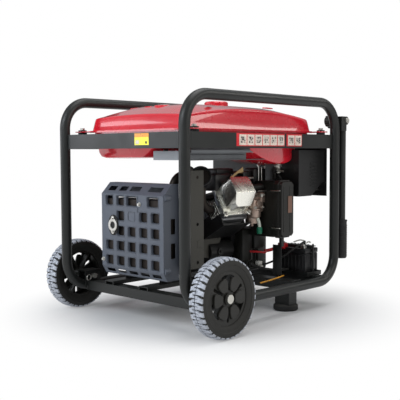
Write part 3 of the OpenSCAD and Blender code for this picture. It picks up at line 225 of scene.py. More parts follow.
DUST = (0.13, 0.125, 0.11)


def mixed(tree, factor, first, second):
    """Colour mix; each colour is a socket or a tuple."""
    node = tree.nodes.new("ShaderNodeMix")
    node.data_type = "RGBA"
    tree.links.new(factor, node.inputs["Factor"])
    for socket, value in ((node.inputs[6], first), (node.inputs[7], second)):
        if isinstance(value, tuple):
            socket.default_value = (*value, 1)
        else:
            tree.links.new(value, socket)
    return node.outputs[2]


def placed_group(tree, group, vector, **values):
    node = tree.nodes.new("ShaderNodeGroup")
    node.node_tree = group
    tree.links.new(vector, node.inputs["Vector"])
    for label, value in values.items():
        node.inputs[label].default_value = value
    return node


def finish(name, colour, rough, metal=0.0, bare=None, wear=0.0, dusty=0.15, grain_size=900.0, bump=0.15,
           cloud=0.12, radius=0.0012, coat=0.0, coat_rough=0.05, tint=None):
    """A surface finish: base colour with grain and cloud, worn edges, dust and a fine relief.

    tint(tree, vector, colour) may replace the base colour.
    """
    material = bpy.data.materials.new(name)
    material.use_nodes = True
    tree = material.node_tree
    shader = tree.nodes["Principled BSDF"]
    where = tree.nodes.new("ShaderNodeTexCoord").outputs["Object"]
    speck = placed_group(tree, grain, where, Scale=grain_size)
    edges = placed_group(tree, edge_wear, where, Radius=radius, Wear=wear)
    film = placed_group(tree, dust, where, Amount=dusty)
    shade = spread(tree, speck.outputs["Cloud"], 0.3, 0.7, 1 - cloud, 1 + cloud)
    base = tint(tree, where, colour) if tint else mixed(tree, speck.outputs["Fine"], tuple(
        c * 0.88 for c in colour), tuple(min(1, c * 1.12) for c in colour))
    scaled = tree.nodes.new("ShaderNodeVectorMath")
    scaled.operation = "SCALE"
    wire(tree, (base, scaled.inputs[0]), (shade, scaled.inputs["Scale"]))
    worn = mixed(tree, edges.outputs["Mask"], scaled.outputs["Vector"],
                 bare or tuple(min(1, c * 1.6) for c in colour))
    wire(tree, (mixed(tree, film.outputs["Mask"], worn, DUST), shader.inputs["Base Color"]))
    mottled = spread(tree, speck.outputs["Cloud"], 0.3, 0.7, rough - 0.07, rough + 0.07)
    wire(tree, (math_node(tree, "ADD", mottled, math_node(tree, "MULTIPLY", film.outputs["Mask"], 0.5)),
                shader.inputs["Roughness"]))
    if bare and metal < 0.5:
        wire(tree, (edges.outputs["Mask"], shader.inputs["Metallic"]))
    else:
        shader.inputs["Metallic"].default_value = metal
    shader.inputs["Specular IOR Level"].default_value = 0.35
    shader.inputs["Coat Weight"].default_value = coat
    shader.inputs["Coat Roughness"].default_value = coat_rough
    relief = tree.nodes.new("ShaderNodeBump")
    relief.inputs["Strength"].default_value = bump
    relief.inputs["Distance"].default_value = 0.0006
    wire(tree, (speck.outputs["Fine"], relief.inputs["Height"]),
         (edges.outputs["Normal"], relief.inputs["Normal"]),
         (relief.outputs["Normal"], shader.inputs["Normal"]))
    return material


def dress(material, *names):
    """Gives CAD nodes their finish."""
    for name in names:
        nodes[name].data.materials.clear()
        nodes[name].data.materials.append(material)


def as_piece(name, bm, material, body, smooth=35, bevel=0.0, replaces=(), segments=2):
    """Turns a bmesh into a finished piece that rides on a body."""
    bmesh.ops.remove_doubles(bm, verts=bm.verts, dist=2e-5)
    bmesh.ops.recalc_face_normals(bm, faces=bm.faces)
    mesh = bpy.data.meshes.new(name)
    bm.to_mesh(mesh)
    bm.free()
    mesh.polygons.foreach_set("use_smooth", [True] * len(mesh.polygons))
    mesh.set_sharp_from_angle(angle=math.radians(smooth))
    mesh.materials.append(material)
    piece = bpy.data.objects.new(name, mesh)
    scene.collection.objects.link(piece)
    if bevel:
        rounding = piece.modifiers.new("rounding", "BEVEL")
        rounding.width, rounding.segments = bevel, segments
        rounding.limit_method, rounding.angle_limit = "ANGLE", math.radians(smooth)
        rounding.harden_normals = True
    return settle(piece, body, replaces)


def settle(piece, body, replaces=()):
    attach(piece, body)
    if replaces:
        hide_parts(*replaces)
    return piece


def baked(carrier, name, material, body, smooth=35):
    """The result of carrier's node tree as a plain mesh piece; the carrier is removed."""
    graph = bpy.context.evaluated_depsgraph_get()
    mesh = bpy.data.meshes.new_from_object(carrier.evaluated_get(graph), depsgraph=graph)
    bpy.data.objects.remove(carrier)
    mesh.materials.clear()
    mesh.materials.append(material)
    mesh.polygons.foreach_set("use_smooth", [True] * len(mesh.polygons))
    mesh.set_sharp_from_angle(angle=math.radians(smooth))
    piece = bpy.data.objects.new(name, mesh)
    scene.collection.objects.link(piece)
    return settle(piece, body)


def geometry_tree(name, inputs):
    """A geometry tree with named inputs; returns it, its input node and its end node."""
    tree = bpy.data.node_groups.new(name, "GeometryNodeTree")
    tree.interface.new_socket("Geometry", in_out="INPUT", socket_type="NodeSocketGeometry")
    for label, kind, value in inputs:
        socket = tree.interface.new_socket(label, in_out="INPUT", socket_type="NodeSocket" + kind)
        if value is not None:
            socket.default_value = value
    tree.interface.new_socket("Geometry", in_out="OUTPUT", socket_type="NodeSocketGeometry")
    return tree, tree.nodes.new("NodeGroupInput"), tree.nodes.new("NodeGroupOutput")


def ended(tree, given, end, geometry):
    """Realize Instances and Set Material close every tree."""
    real = tree.nodes.new("GeometryNodeRealizeInstances")
    coat = tree.nodes.new("GeometryNodeSetMaterial")
    wire(tree, (geometry, real.inputs[0]), (real.outputs[0], coat.inputs["Geometry"]),
         (given.outputs["Finish"], coat.inputs["Material"]), (coat.outputs[0], end.inputs[0]))


def grown(tree, mesh, **inputs):
    """An object that carries tree over mesh, with its inputs set by their identifiers."""
    carrier = bpy.data.objects.new("carrier", mesh)
    scene.collection.objects.link(carrier)
    modifier = carrier.modifiers.new("growth", "NODES")
    modifier.node_group = tree
    named = {item.name: item.identifier for item in tree.interface.items_tree if item.in_out == "INPUT"}
    for label, value in inputs.items():
        modifier[named[label.replace("_", " ")]] = value
    return carrier


# Weld bead: overlapping flattened drops along a seam
bead_tree, given, end = geometry_tree(
    "weld_bead", [("Step", "Float", 0.0022), ("Size", "Float", 0.0026), ("Finish", "Material", None)])
seam = bead_tree.nodes.new("GeometryNodeMeshToCurve")
spaced = bead_tree.nodes.new("GeometryNodeResampleCurve")
spaced.mode = "LENGTH"
drop = bead_tree.nodes.new("GeometryNodeMeshUVSphere")
drop.inputs["Segments"].default_value, drop.inputs["Rings"].default_value = 8, 5
laid = bead_tree.nodes.new("GeometryNodeInstanceOnPoints")
shaken = bead_tree.nodes.new("FunctionNodeRandomValue")
shaken.data_type = "FLOAT"
shaken.inputs[2].default_value, shaken.inputs[3].default_value = 0.85, 1.15
shaken.inputs["Seed"].default_value = 4
wire(bead_tree, (given.outputs["Geometry"], seam.inputs["Mesh"]),
     (seam.outputs["Curve"], spaced.inputs["Curve"]),
     (given.outputs["Step"], spaced.inputs["Length"]), (given.outputs["Size"], drop.inputs["Radius"]),
     (spaced.outputs["Curve"], laid.inputs["Points"]), (drop.outputs["Mesh"], laid.inputs["Instance"]),
     (shaken.outputs[1], laid.inputs["Scale"]))
ended(bead_tree, given, end, laid.outputs["Instances"])


def lines(name, *paths):
    """A mesh of open polylines, for a tree to follow."""
    mesh = bpy.data.meshes.new(name)
    points, edges = [], []
    for path in paths:
        edges += [(len(points) + i, len(points) + i + 1) for i in range(len(path) - 1)]
        points += path
    mesh.from_pydata(points, edges, [])
    return mesh


powder_coat = finish("powder_coat", (0.0105, 0.0115, 0.0108), 0.38, bare=(0.12, 0.12, 0.12), wear=0.3,
                     dusty=0.10, grain_size=1400.0, bump=0.12, cloud=0.10)
dress(powder_coat, "hoop_left", "hoop_right", "tank_rails", "cross_members", "engine_rails",
      "handle_brackets", "handle_left", "handle_right", "battery_tray")

rail_low, rail_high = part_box("tank_rails")
hoop_low, hoop_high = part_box("hoop_left")
tube_r = 0.016
hoop_y = abs((hoop_low.y + hoop_high.y) / 2)
post_x = (hoop_low.x + tube_r, hoop_high.x - tube_r)
tyre_low, tyre_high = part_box("tyre_left")
axle_x, axle_z = (tyre_low.x + tyre_high.x) / 2, (tyre_low.z + tyre_high.z) / 2
tube_z = hoop_low.z + tube_r
cross_x = (-0.2905, 0.1415, 0.2765)
seams = []
for side in (-1, 1):
    for x, inward in ((post_x[0], 1), (post_x[1], -1)):
        at_x, at_y = x + inward * tube_r, side * (hoop_y - tube_r)
        seams.append([(at_x, side * hoop_y - side * 0.0015, z / 1000) for z in range(
            int(rail_low.z * 1000), int(rail_high.z * 1000) + 1, 5)])
        seams.append([(x + inward * 0.0015, at_y, z / 1000) for z in range(
            int(rail_low.z * 1000), int(rail_high.z * 1000) + 1, 5)])
    for x in cross_x:
        seams.append([(x + t * 0.020, side * (hoop_y - tube_r + 0.0005), tube_z + 0.015) for t in (-1, 0, 1)])
        for edge in (-0.020, 0.020):
            seams.append([(x + edge, side * (hoop_y - tube_r), tube_z + t * 0.012) for t in (-1, 0, 1)])
baked(grown(bead_tree, lines("frame_seams", *seams), Finish=powder_coat), "frame_welds", powder_coat, "frame")

# ---- feet and mounts ------------------------------------------------------------------------
# Moulded rubber feet stand under the frame and rubber bushes carry the tank and the engine.
# Zinc-plated hex bolts hold them; the plating has dulled to a grey with a yellowish bloom.

black_rubber = finish("black_rubber", (0.012, 0.012, 0.012), 0.72, dusty=0.35, grain_size=700.0, bump=0.3,
                      cloud=0.2)
dress(black_rubber, "rubber_feet", "rubber_mounts")
zinc = finish("zinc", (0.52, 0.51, 0.47), 0.36, metal=1.0, wear=0.2, dusty=0.2, grain_size=500.0, bump=0.2,
              cloud=0.22, radius=0.0006)
dress(zinc, "bolts", "axle_pins", "fuel_valve", "choke_lever", "ignition_key")

# ---- wheels ---------------------------------------------------------------------------------
# Each tyre is a solid moulded ring with two mirrored rows of forked lugs round its tread.
# It is pressed on a black moulded hub with raised petals, held on the axle by a zinc cap.

tyre_r = (tyre_high.z - tyre_low.z) / 2
hub_low, hub_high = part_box("hub_left")
rim_r = (hub_high.z - hub_low.z) / 2


def V(x, y, z):
    """A place in the row frame, given in millimetres."""
    return Vector((x, y, z)) / 1000


def turned(bm, profile, matrix=Matrix(), segments=64, closed=False):
    """Lathes (radius, height) pairs, in metres, about Z and places them with matrix."""
    rings = []
    for k in range(segments):
        a = math.tau * k / segments
        rings.append([bm.verts.new(matrix @ Vector((r * math.cos(a), r * math.sin(a), h)))
                      for r, h in profile])
    for k in range(segments):
        one, two = rings[k], rings[(k + 1) % len(rings)]
        for j in range(len(profile) if closed else len(profile) - 1):
            i = (j + 1) % len(profile)
            corners = [one[j], two[j], two[i], one[i]]
            if profile[j][0] < 1e-7:
                corners = [one[j], two[i], one[i]]
            elif profile[i][0] < 1e-7:
                corners = [one[j], two[j], one[i]]
            bm.faces.new(corners)
    if profile[0][0] < 1e-7 or profile[-1][0] < 1e-7:
        bmesh.ops.remove_doubles(bm, verts=[v for ring in rings for v in ring], dist=1e-7)
    return bm


def prism(bm, outline, low, high, matrix=Matrix(), shrink=0.0):
    """A closed solid between outline at low and outline at high; shrink pulls the high end in."""
    middle = sum((Vector((*p, 0)) for p in outline), Vector()) / len(outline)
    foot = [bm.verts.new(matrix @ Vector((p[0], p[1], low))) for p in outline]
    head = [bm.verts.new(matrix @ ((Vector((*p, 0)) - middle) * (1 - shrink) + middle + Vector((0, 0, high))))
            for p in outline]
    caps = [bm.faces.new(foot[::-1]), bm.faces.new(head)]
    for k in range(len(outline)):
        bm.faces.new((foot[k], foot[(k + 1) % len(foot)], head[(k + 1) % len(foot)], head[k]))
    bmesh.ops.triangulate(bm, faces=[f for f in caps if len(f.verts) > 4])
    return foot + head


def brick(bm, low, high, rounding=0.0, segments=2):
    """A block between two corners, its edges rounded."""
    low, high = Vector(low), Vector(high)
    made = bmesh.ops.create_cube(bm, size=1.0, matrix=Matrix.Translation((low + high) / 2) @ Matrix.Diagonal(
        (*(high - low), 1)))["verts"]
    if rounding:
        edges = list(dict.fromkeys(e for v in made for e in v.link_edges))
        bmesh.ops.bevel(bm, geom=edges, offset=rounding, segments=segments, affect="EDGES", profile=0.5)


# Copies of one part: every point of the carrier gets the part, turned by its "turn" attribute
copies_tree, given, end = geometry_tree("copies", [("Part", "Object", None), ("Finish", "Material", None)])
part_node = copies_tree.nodes.new("GeometryNodeObjectInfo")
turn_node = copies_tree.nodes.new("GeometryNodeInputNamedAttribute")
turn_node.data_type = "FLOAT_VECTOR"
turn_node.inputs["Name"].default_value = "turn"
set_out = copies_tree.nodes.new("GeometryNodeInstanceOnPoints")
wire(copies_tree, (given.outputs["Part"], part_node.inputs["Object"]),
     (given.outputs["Geometry"], set_out.inputs["Points"]),
     (part_node.outputs["Geometry"], set_out.inputs["Instance"]),
     (turn_node.outputs["Attribute"], set_out.inputs["Rotation"]))
ended(copies_tree, given, end, set_out.outputs["Instances"])


def copied(name, bm, places, material, body, smooth=35):
    """The part in bm, once at each (place, turn) pair, baked to one piece."""
    mesh = bpy.data.meshes.new("part")
    bmesh.ops.recalc_face_normals(bm, faces=bm.faces)
    bm.to_mesh(mesh)
    bm.free()
    part = bpy.data.objects.new("part", mesh)
    scene.collection.objects.link(part)
    points = bpy.data.meshes.new("places")
    points.from_pydata([tuple(place) for place, turn in places], [], [])
    attribute = points.attributes.new("turn", "FLOAT_VECTOR", "POINT")
    for k, (place, turn) in enumerate(places):
        attribute.data[k].vector = tuple(turn)
    piece = baked(grown(copies_tree, points, Part=part, Finish=material), name, material, body, smooth)
    bpy.data.objects.remove(part)
    return piece


def tread_sheen_tint(tree, where, colour):
    """Pale blue-grey tread colour as a painted sheen of the key light on black rubber, made patchy by noise.
    """
    sheen_patch = spread(tree, noise(tree, where, 130.0, 5), 0.35, 0.7)
    return mixed(tree, sheen_patch, tuple(c * 0.8 for c in colour), tuple(c * 1.35 for c in colour))


tyre_rubber = finish("tyre_rubber", (0.016, 0.0155, 0.0135), 0.6, dusty=0.12, grain_size=1100.0, bump=0.25)
# the tread rubber is black like the walls; its pale blue-grey colour here is painted sheen of the key light
tread_painted_sheen = finish("tread_painted_sheen", (0.35, 0.37, 0.415), 0.6, dusty=0.2, grain_size=900.0, bump=0.3,
                      tint=tread_sheen_tint)
hub_plastic = finish("hub_plastic", (0.0125, 0.0122, 0.0098), 0.4, dusty=0.12, grain_size=1500.0, bump=0.18,
                     radius=0.0009)
lugs = 36
half_wall = [(0.0, tyre_r - 0.0036), (0.016, tyre_r - 0.0042), (0.0222, tyre_r - 0.0056),
             (0.0243, tyre_r - 0.0080),
             (0.0250, tyre_r - 0.0120), (0.0250, tyre_r - 0.0205), (0.0236, tyre_r - 0.0218),
             (0.0222, rim_r + 0.0080), (0.0205, rim_r + 0.0030), (0.0186, rim_r - 0.0008)]
lug_outline = [(-0.0072, 0.0244), (0.0056, 0.0244), (0.0080, 0.0150), (0.0120, 0.0090), (0.0132, 0.0011),
               (0.0056, 0.0011), (0.0046, 0.0092), (0.0030, 0.0092), (0.0022, 0.0011), (-0.0044, 0.0011),
               (-0.0050, 0.0080), (-0.0048, 0.0150)]


def crown(y):
    """Tread radius at y from the tyre's middle."""
    return tyre_r - 0.0002 - 0.0012 * (y / 0.02) ** 2 - max(0.0, y - 0.0215) * 0.8


for side, hand in ((-1, "left"), (1, "right")):
    hub_centre = Vector((axle_x, side * abs(tyre_low.y + tyre_high.y) / 2, axle_z))
    upright = Matrix.Translation(hub_centre) @ Matrix.Rotation(-math.pi / 2, 4, "X")
    body = hand + "_wheel"
    ring = turned(bmesh.new(), [(r, y) for y, r in half_wall] + [(r, -y) for y, r in half_wall[:0:-1]],
                  upright, 120, closed=True)
    as_piece("tyre_wall_" + hand, ring, tyre_rubber, body, 30, replaces=("tyre_" + hand,))
    for row in (1, -1):
        bm = bmesh.new()
        foot = [bm.verts.new((s * 0.97, row * y, crown(y) - 0.0058)) for s, y in lug_outline]
        head = [bm.verts.new((s * 0.93, row * (y * 0.985 + 0.0002), crown(y) - s * s * 4.4))
                for s, y in lug_outline]
        top = bm.faces.new(head)
        for k in range(len(foot)):
            bm.faces.new((foot[k], foot[(k + 1) % len(foot)], head[(k + 1) % len(foot)], head[k]))
        bm.faces.new(foot[::-1])
        bmesh.ops.triangulate(bm, faces=bm.faces)
        shift = 0.5 if row < 0 else 0.0
        places = [(hub_centre, (0, math.tau * (k + shift) / lugs, 0)) for k in range(lugs)]
        copied(f"tread_{hand}_{'outer' if row * side > 0 else 'inner'}", bm, places, tread_painted_sheen, body,
               smooth=25)
    # Six raised petals on the hub's outer face and the rim's rolled bead
    bm = bmesh.new()
    face_y = side * (abs(hub_low.y) - 0.0045)
    petal = [(0.0225, -0.0095), (0.034, -0.0165), (0.048, -0.0200), (0.0570, -0.0190), (0.0605, -0.0120),
             (0.0612, 0.0), (0.0605, 0.0120), (0.0570, 0.0190), (0.048, 0.0200), (0.034, 0.0165),
             (0.0225, 0.0095)]
    prism(bm, petal, -0.004, 0.0042, Matrix.Rotation(-side * math.pi / 2, 4, "X"), shrink=0.05)
    bmesh.ops.bevel(bm, geom=[e for e in bm.edges if e.calc_face_angle(0) > 0.6], offset=0.0012, segments=2,
                    affect="EDGES")
    places = [(Vector((axle_x, face_y, axle_z)), (0, math.radians(60 * k + 60), 0)) for k in range(6)]
    copied("hub_petals_" + hand, bm, places, hub_plastic, body, smooth=40)
    dress(hub_plastic, "hub_" + hand)

# ---- exhaust --------------------------------------------------------------------------------
# A bent steel pipe carries the gas from the head to a pressed muffler. A painted steel guard
# covers it: its square vents are punched and flanged inward, and it bolts on at the corners.

exhaust_steel = finish("exhaust_steel", (0.034, 0.029, 0.026), 0.5, metal=1.0, dusty=0.3, grain_size=420.0,
                       bump=0.3, cloud=0.35)
dress(exhaust_steel, "exhaust_pipe", "muffler_body")
bare_steel = finish("bare_steel", (0.55, 0.54, 0.51), 0.33, metal=1.0, wear=0.2, dusty=0.1, grain_size=620.0,
                    bump=0.15, cloud=0.2, radius=0.0008)
dress(bare_steel, "exhaust_outlet")
guard_paint = finish("guard_paint", (0.078, 0.089, 0.112), 0.44, bare=(0.26, 0.27, 0.29), wear=0.55,
                     dusty=0.12, grain_size=1300.0, bump=0.16, cloud=0.10, radius=0.0030)
shield_paint = finish("shield_paint", (0.042, 0.040, 0.033), 0.5, bare=(0.2, 0.19, 0.17), wear=0.4,
                      dusty=0.15, grain_size=1200.0, bump=0.15, radius=0.002)
dress(guard_paint, "muffler_guard")
tank_shield = finish("tank_shield", (0.16, 0.17, 0.18), 0.36, metal=0.75, dusty=0.15, grain_size=700.0,
                     bump=0.15, cloud=0.2)
dress(shield_paint, "side_heat_shield")
dress(tank_shield, "tank_heat_shield")
guard_low, guard_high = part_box("muffler_guard")
guard_face = guard_low.x
guard_mid = (guard_low.y + guard_high.y) / 2
guard_wide, guard_tall, guard_lip = 0.281, 0.225, 0.025
vent_pitch, vent_row = guard_wide / 5.4, guard_tall / 4.85
vent_base = guard_low.z + guard_lip + guard_tall / 2
blind = {(4, 2), (4, 3), (2, 3), (1, 4)}
wide = {(0, 4), (2, 4)}
vents = [(i, j) for i in range(5) for j in range(5) if (i, j) not in blind | wide]


def vent_at(i, j):
    """Middle of a vent on the guard's face; the top corner vent is shifted inward."""
    column = 0.2 if (i, j) == (0, 4) else i
    return Vector((guard_face, guard_mid + (column - 2) * vent_pitch, vent_base + (j - 2) * vent_row))


def frame_ring(bm, width, height, thick, depth, flare=0.0, axis_x=0.0):
    """A rectangular ring round X, its front lip rolled outward by flare."""
    outer, inner = (width / 2, height / 2), (width / 2 - thick, height / 2 - thick)
    cut = 0.0035
    loops = []
    for x, grow, (w, h) in ((axis_x, flare, outer), (axis_x - 0.0006, flare * 0.55, inner),
                            (axis_x + 0.0016, 0, inner), (axis_x + depth, -0.0004, inner),
                            (axis_x + depth, -0.0004, outer), (axis_x + 0.0014, 0, outer)):
        w, h = w + grow, h + grow
        corner = [(w, h - cut), (w - cut, h), (cut - w, h), (-w, h - cut), (-w, cut - h), (cut - w, -h),
                  (w - cut, -h), (w, cut - h)]
        loops.append([bm.verts.new((x, y, z)) for y, z in corner])
    for k in range(len(loops)):
        one, two = loops[k], loops[(k + 1) % len(loops)]
        for c in range(8):
            bm.faces.new((one[c], one[(c + 1) % 8], two[(c + 1) % 8], two[c]))


for label, share, spots in (("square", 0.70, vents), ("wide", 0.95, wide)):
    flange = bmesh.new()
    frame_ring(flange, vent_pitch * share + 0.0006, vent_row * 0.68 + 0.0006, 0.0015, 0.009, flare=0.0020)
    copied("guard_flanges_" + label, flange, [(vent_at(i, j), (0, 0, 0)) for i, j in sorted(spots)],
           guard_paint, "frame", smooth=50)
# The blind square is pressed in outline only
pressed = bmesh.new()
frame_ring(pressed, vent_pitch * 0.60, vent_row * 0.62, 0.0020, 0.0012, flare=0.0004, axis_x=-0.0006)
copied("guard_pressings", pressed, [(vent_at(2, 3), (0, 0, 0))], guard_paint, "frame")
# Raised seam, corner bosses and the screws that hold the guard
trim = bmesh.new()
seam_y = guard_mid - 0.5 * vent_pitch * 1.06
brick(trim, (guard_face - 0.0014, seam_y - 0.0022, vent_base + 0.060),
      (guard_face + 0.001, seam_y + 0.0022, guard_high.z - 0.036), 0.0008)
for z in (guard_high.z - 0.040, guard_low.z + 0.030):
    turned(trim, [(0.0001, -0.001), (0.0085, -0.001), (0.0095, 0.002), (0.0095, 0.020), (0.0001, 0.020)],
           Matrix.Translation((guard_face + 0.004, guard_low.y + 0.002, z))
           @ Matrix.Rotation(math.pi / 2, 4, "Y"), 24)
as_piece("guard_trim", trim, guard_paint, "frame", 40)


def hex_screw(size):
    """A hex head on a washer, its seat at zero and its head along +Z."""
    bm = bmesh.new()
    washer = size * 0.72
    turned(bm, [(0.0001, 0), (washer, 0), (washer, 0.0012), (washer - 0.0003, 0.0015), (0.0001, 0.0015)],
           segments=20)
    corners = [(size * 0.577 * math.cos(k * math.pi / 3), size * 0.577 * math.sin(k * math.pi / 3))
               for k in range(6)]
    prism(bm, corners, 0.0012, 0.0012 + size * 0.5)
    turned(bm, [(size * 0.45, 0.0012 + size * 0.50), (size * 0.36, 0.0012 + size * 0.62),
                (0.0001, 0.0012 + size * 0.60)], segments=18)
    return bm


def facing(x, y, z):
    """Euler turn that brings +Z onto a direction."""
    return Vector((x, y, z)).to_track_quat("Z", "Y").to_euler()


outlet_low, outlet_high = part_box("exhaust_outlet")
outlet_mid = (outlet_low + outlet_high) / 2
copied("guard_screws", hex_screw(0.009),
       [(Vector((guard_face, seam_y - 0.009, vent_base + 2 * vent_row - 0.008)), facing(-1, 0, 0)),
        (Vector((guard_face, guard_mid + 2.55 * vent_pitch, vent_base - 2.0 * vent_row)), facing(-1, 0, 0))],
       zinc, "frame")
# Black outlined gasket plate under the outlet flange
gasket = bmesh.new()
outline = []
for k in range(40):
    a = math.tau * k / 40
    reach = 0.0235 + 0.0085 * abs(math.sin(a)) ** 3
    outline.append((reach * math.cos(a), reach * math.sin(a)))
prism(gasket, outline, 0.0, 0.0022, Matrix.Translation((guard_face + 0.0002, outlet_mid.y, outlet_mid.z))
      @ Matrix.Rotation(-math.pi / 2, 4, "Y") @ Matrix.Rotation(math.pi / 2, 4, "Z"))
as_piece("outlet_gasket", gasket, black_rubber, "frame", 40, bevel=0.0005)

# ---- alternator and engine ------------------------------------------------------------------
# The alternator is a lamination pack between cast bells. The engine is a tilted single: finned
# cast cylinder and head, a bright faceted rocker cover, black cowlings and a blower shroud.

core_steel = finish("core_steel", (0.11, 0.10, 0.095), 0.55, metal=0.8, dusty=0.3, grain_size=300.0, bump=0.5)
copper = finish("winding_copper", (0.36, 0.13, 0.06), 0.4, metal=0.9, dusty=0.2, grain_size=260.0, bump=0.6)
forged = finish("forged_steel", (0.33, 0.32, 0.31), 0.35, metal=1.0, dusty=0.1, grain_size=500.0)
iron = finish("grey_iron", (0.14, 0.14, 0.14), 0.6, metal=0.7, dusty=0.2, grain_size=350.0, bump=0.5)
cast_alloy = finish("cast_alloy", (0.23, 0.235, 0.245), 0.46, metal=0.9, dusty=0.3, grain_size=520.0,
                    bump=0.45, cloud=0.25, radius=0.0008)
black_casting = finish("black_casting", (0.010, 0.010, 0.0105), 0.5, bare=(0.3, 0.3, 0.3), wear=0.3,
                       dusty=0.2, grain_size=620.0, bump=0.4)
bright_alloy = finish("bright_alloy", (0.86, 0.85, 0.78), 0.27, metal=1.0, wear=0.1, dusty=0.05,
                      grain_size=520.0, bump=0.10, cloud=0.05, radius=0.0016)
zinc_casting = finish("zinc_casting", (0.40, 0.31, 0.26), 0.44, metal=0.85, dusty=0.2, grain_size=480.0,
                      bump=0.4, cloud=0.25, radius=0.0008)
# shroud paint and black plastic are black, and made darker still as painted shade of the engine bay under the
# guard and hoop
shroud_paint = finish("shroud_paint", (0.008, 0.008, 0.0085), 0.38, bare=(0.2, 0.2, 0.2), wear=0.3,
                      dusty=0.15, grain_size=1200.0, bump=0.12)
black_plastic = finish("black_plastic", (0.0085, 0.0085, 0.0070), 0.46, dusty=0.15, grain_size=1500.0,
                       bump=0.2, radius=0.0020)
foam = finish("filter_foam", (0.05, 0.05, 0.055), 0.95, dusty=0.0, grain_size=420.0, bump=1.0)
dress(core_steel, "stator")
dress(copper, "rotor")
dress(forged, "crankshaft")
dress(iron, "flywheel")
dress(cast_alloy, "cylinder_barrel", "cylinder_head", "piston", "alternator_ends")
dress(black_casting, "crankcase")
dress(zinc_casting, "carburettor")
dress(shroud_paint, "fan_shroud", "recoil_cover", "starter_motor")
dress(black_plastic, "air_box", "recoil_grip", "fuel_valve_lever", "outlets")
dress(foam, "air_filter")
dress(black_rubber, "spark_plug", "hoses_leads")
crank_low, crank_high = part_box("crankshaft")
head_low, head_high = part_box("cylinder_head")
cylinder = (Matrix.Translation(((head_low.x + head_high.x) / 2, (crank_low.y + crank_high.y) / 2,
                                (crank_low.z + crank_high.z) / 2))
            @ Matrix.Rotation(math.radians(60), 4, "X"))
cover_seat = 0.213


def sweep_along(bm, path, radius, sides=10, rounds=8):
    """A round bar or hose through the points of path, smoothed, with closed ends."""
    path = [Vector(p) for p in path]
    if len(path) > 2:
        line = [path[0]]
        for k in range(len(path) - 1):
            before, after = path[max(k - 1, 0)], path[min(k + 2, len(path) - 1)]
            one, two = path[k], path[k + 1]
            for j in range(1, rounds + 1):
                t = j / rounds
                line.append(0.5 * ((2 * one) + (two - before) * t
                                   + (2 * before - 5 * one + 4 * two - after) * t * t
                                   + (3 * one - before - 3 * two + after) * t ** 3))
        path = line
    side = (path[1] - path[0]).normalized().orthogonal().normalized()
    rings = []
    for k, point in enumerate(path):
        along = (path[min(k + 1, len(path) - 1)] - path[max(k - 1, 0)]).normalized()
        side = (side - along * side.dot(along)).normalized()
        other = along.cross(side)
        rings.append([bm.verts.new(point + radius * (math.cos(a) * side + math.sin(a) * other))
                      for a in (math.tau * j / sides for j in range(sides))])
    for one, two in zip(rings, rings[1:]):
        for j in range(sides):
            bm.faces.new((one[j], one[(j + 1) % sides], two[(j + 1) % sides], two[j]))
    bm.faces.new(rings[0][::-1])
    bm.faces.new(rings[-1])
    return bm


def cut_corners(width, height, cut, lift=0.0):
    w, h = width / 2, height / 2
    return [(w, h - cut, lift), (w - cut, h, lift), (cut - w, h, lift), (-w, h - cut, lift),
            (-w, cut - h, lift), (cut - w, -h, lift), (w - cut, -h, lift), (w, cut - h, lift)]


# Rocker cover: a die casting with draft, flat facets and a bolted flange with four ears
cover = bmesh.new()
cover_up = 0.019
seat = cylinder @ Matrix.Translation((0, cover_up, cover_seat))
prism(cover, [(w, h) for w, h, lift in cut_corners(0.118, 0.113, 0.014)], 0.0, 0.0055, seat)
for sx in (-1, 1):
    for sy in (-1, 1):
        turned(cover, [(0.0001, 0), (0.0095, 0), (0.0095, 0.0062), (0.0085, 0.0072), (0.0001, 0.0072)],
               seat @ Matrix.Translation((sx * 0.0550, sy * 0.0520, 0)), 24)
body_points = (cut_corners(0.097, 0.092, 0.014, 0.004) + cut_corners(0.095, 0.090, 0.016, 0.030)
               + [(sx * x, y, z) for x, y, z in (
                   (0.0380, 0.0440, 0.0670), (0.0460, 0.0350, 0.0690), (0.0465, -0.0120, 0.0710),
                   (0.0300, -0.0470, 0.0420), (0.0410, -0.0370, 0.0470)) for sx in (-1, 1)])
hull = [cover.verts.new(seat @ Vector(point)) for point in body_points]
made_hull = bmesh.ops.convex_hull(cover, input=hull)
bmesh.ops.delete(cover, geom=[g for g in made_hull["geom_interior"] if isinstance(g, bmesh.types.BMVert)],
                 context="VERTS")
as_piece("rocker_cover", cover, bright_alloy, "frame", 24, bevel=0.0016,
         replaces=("valve_cover",), segments=3)
outward = cylinder.to_3x3() @ Vector((0, 0, 1))
cover_ears = [(seat @ Vector((sx * 0.0550, sy * 0.0520, 0.0070)), outward.to_track_quat("Z", "Y").to_euler())
              for sx in (-1, 1) for sy in (-1, 1)]
copied("rocker_cover_screws", hex_screw(0.0085), cover_ears, zinc, "frame")

# Black cowling sheets that lead the cooling air round the cylinder, with a rolled edge
cowl = bmesh.new()
lip = [V(-96, -112, 392), V(-90, -116, 362), V(-76, -118, 334), V(-50, -120, 309), V(-18, -120, 299),
       V(22, -119, 300), V(44, -114, 304)]
sweep_along(cowl, lip, 0.0024, 8)
as_piece("cowling_lip", cowl, guard_paint, "frame", 50)
skirt = bmesh.new()
for one, two in zip(lip, lip[1:]):
    quad = [one, two, two + V(0, 58, -14), one + V(0, 58, -14)]
    base = [skirt.verts.new(p) for p in quad]
    top = [skirt.verts.new(p + V(0, 0, -1.4)) for p in quad]
    skirt.faces.new(base)
    skirt.faces.new(top[::-1])
    for k in range(4):
        skirt.faces.new((base[k], top[k], top[(k + 1) % 4], base[(k + 1) % 4]))
as_piece("cowling_skirt", skirt, shroud_paint, "frame", 40)
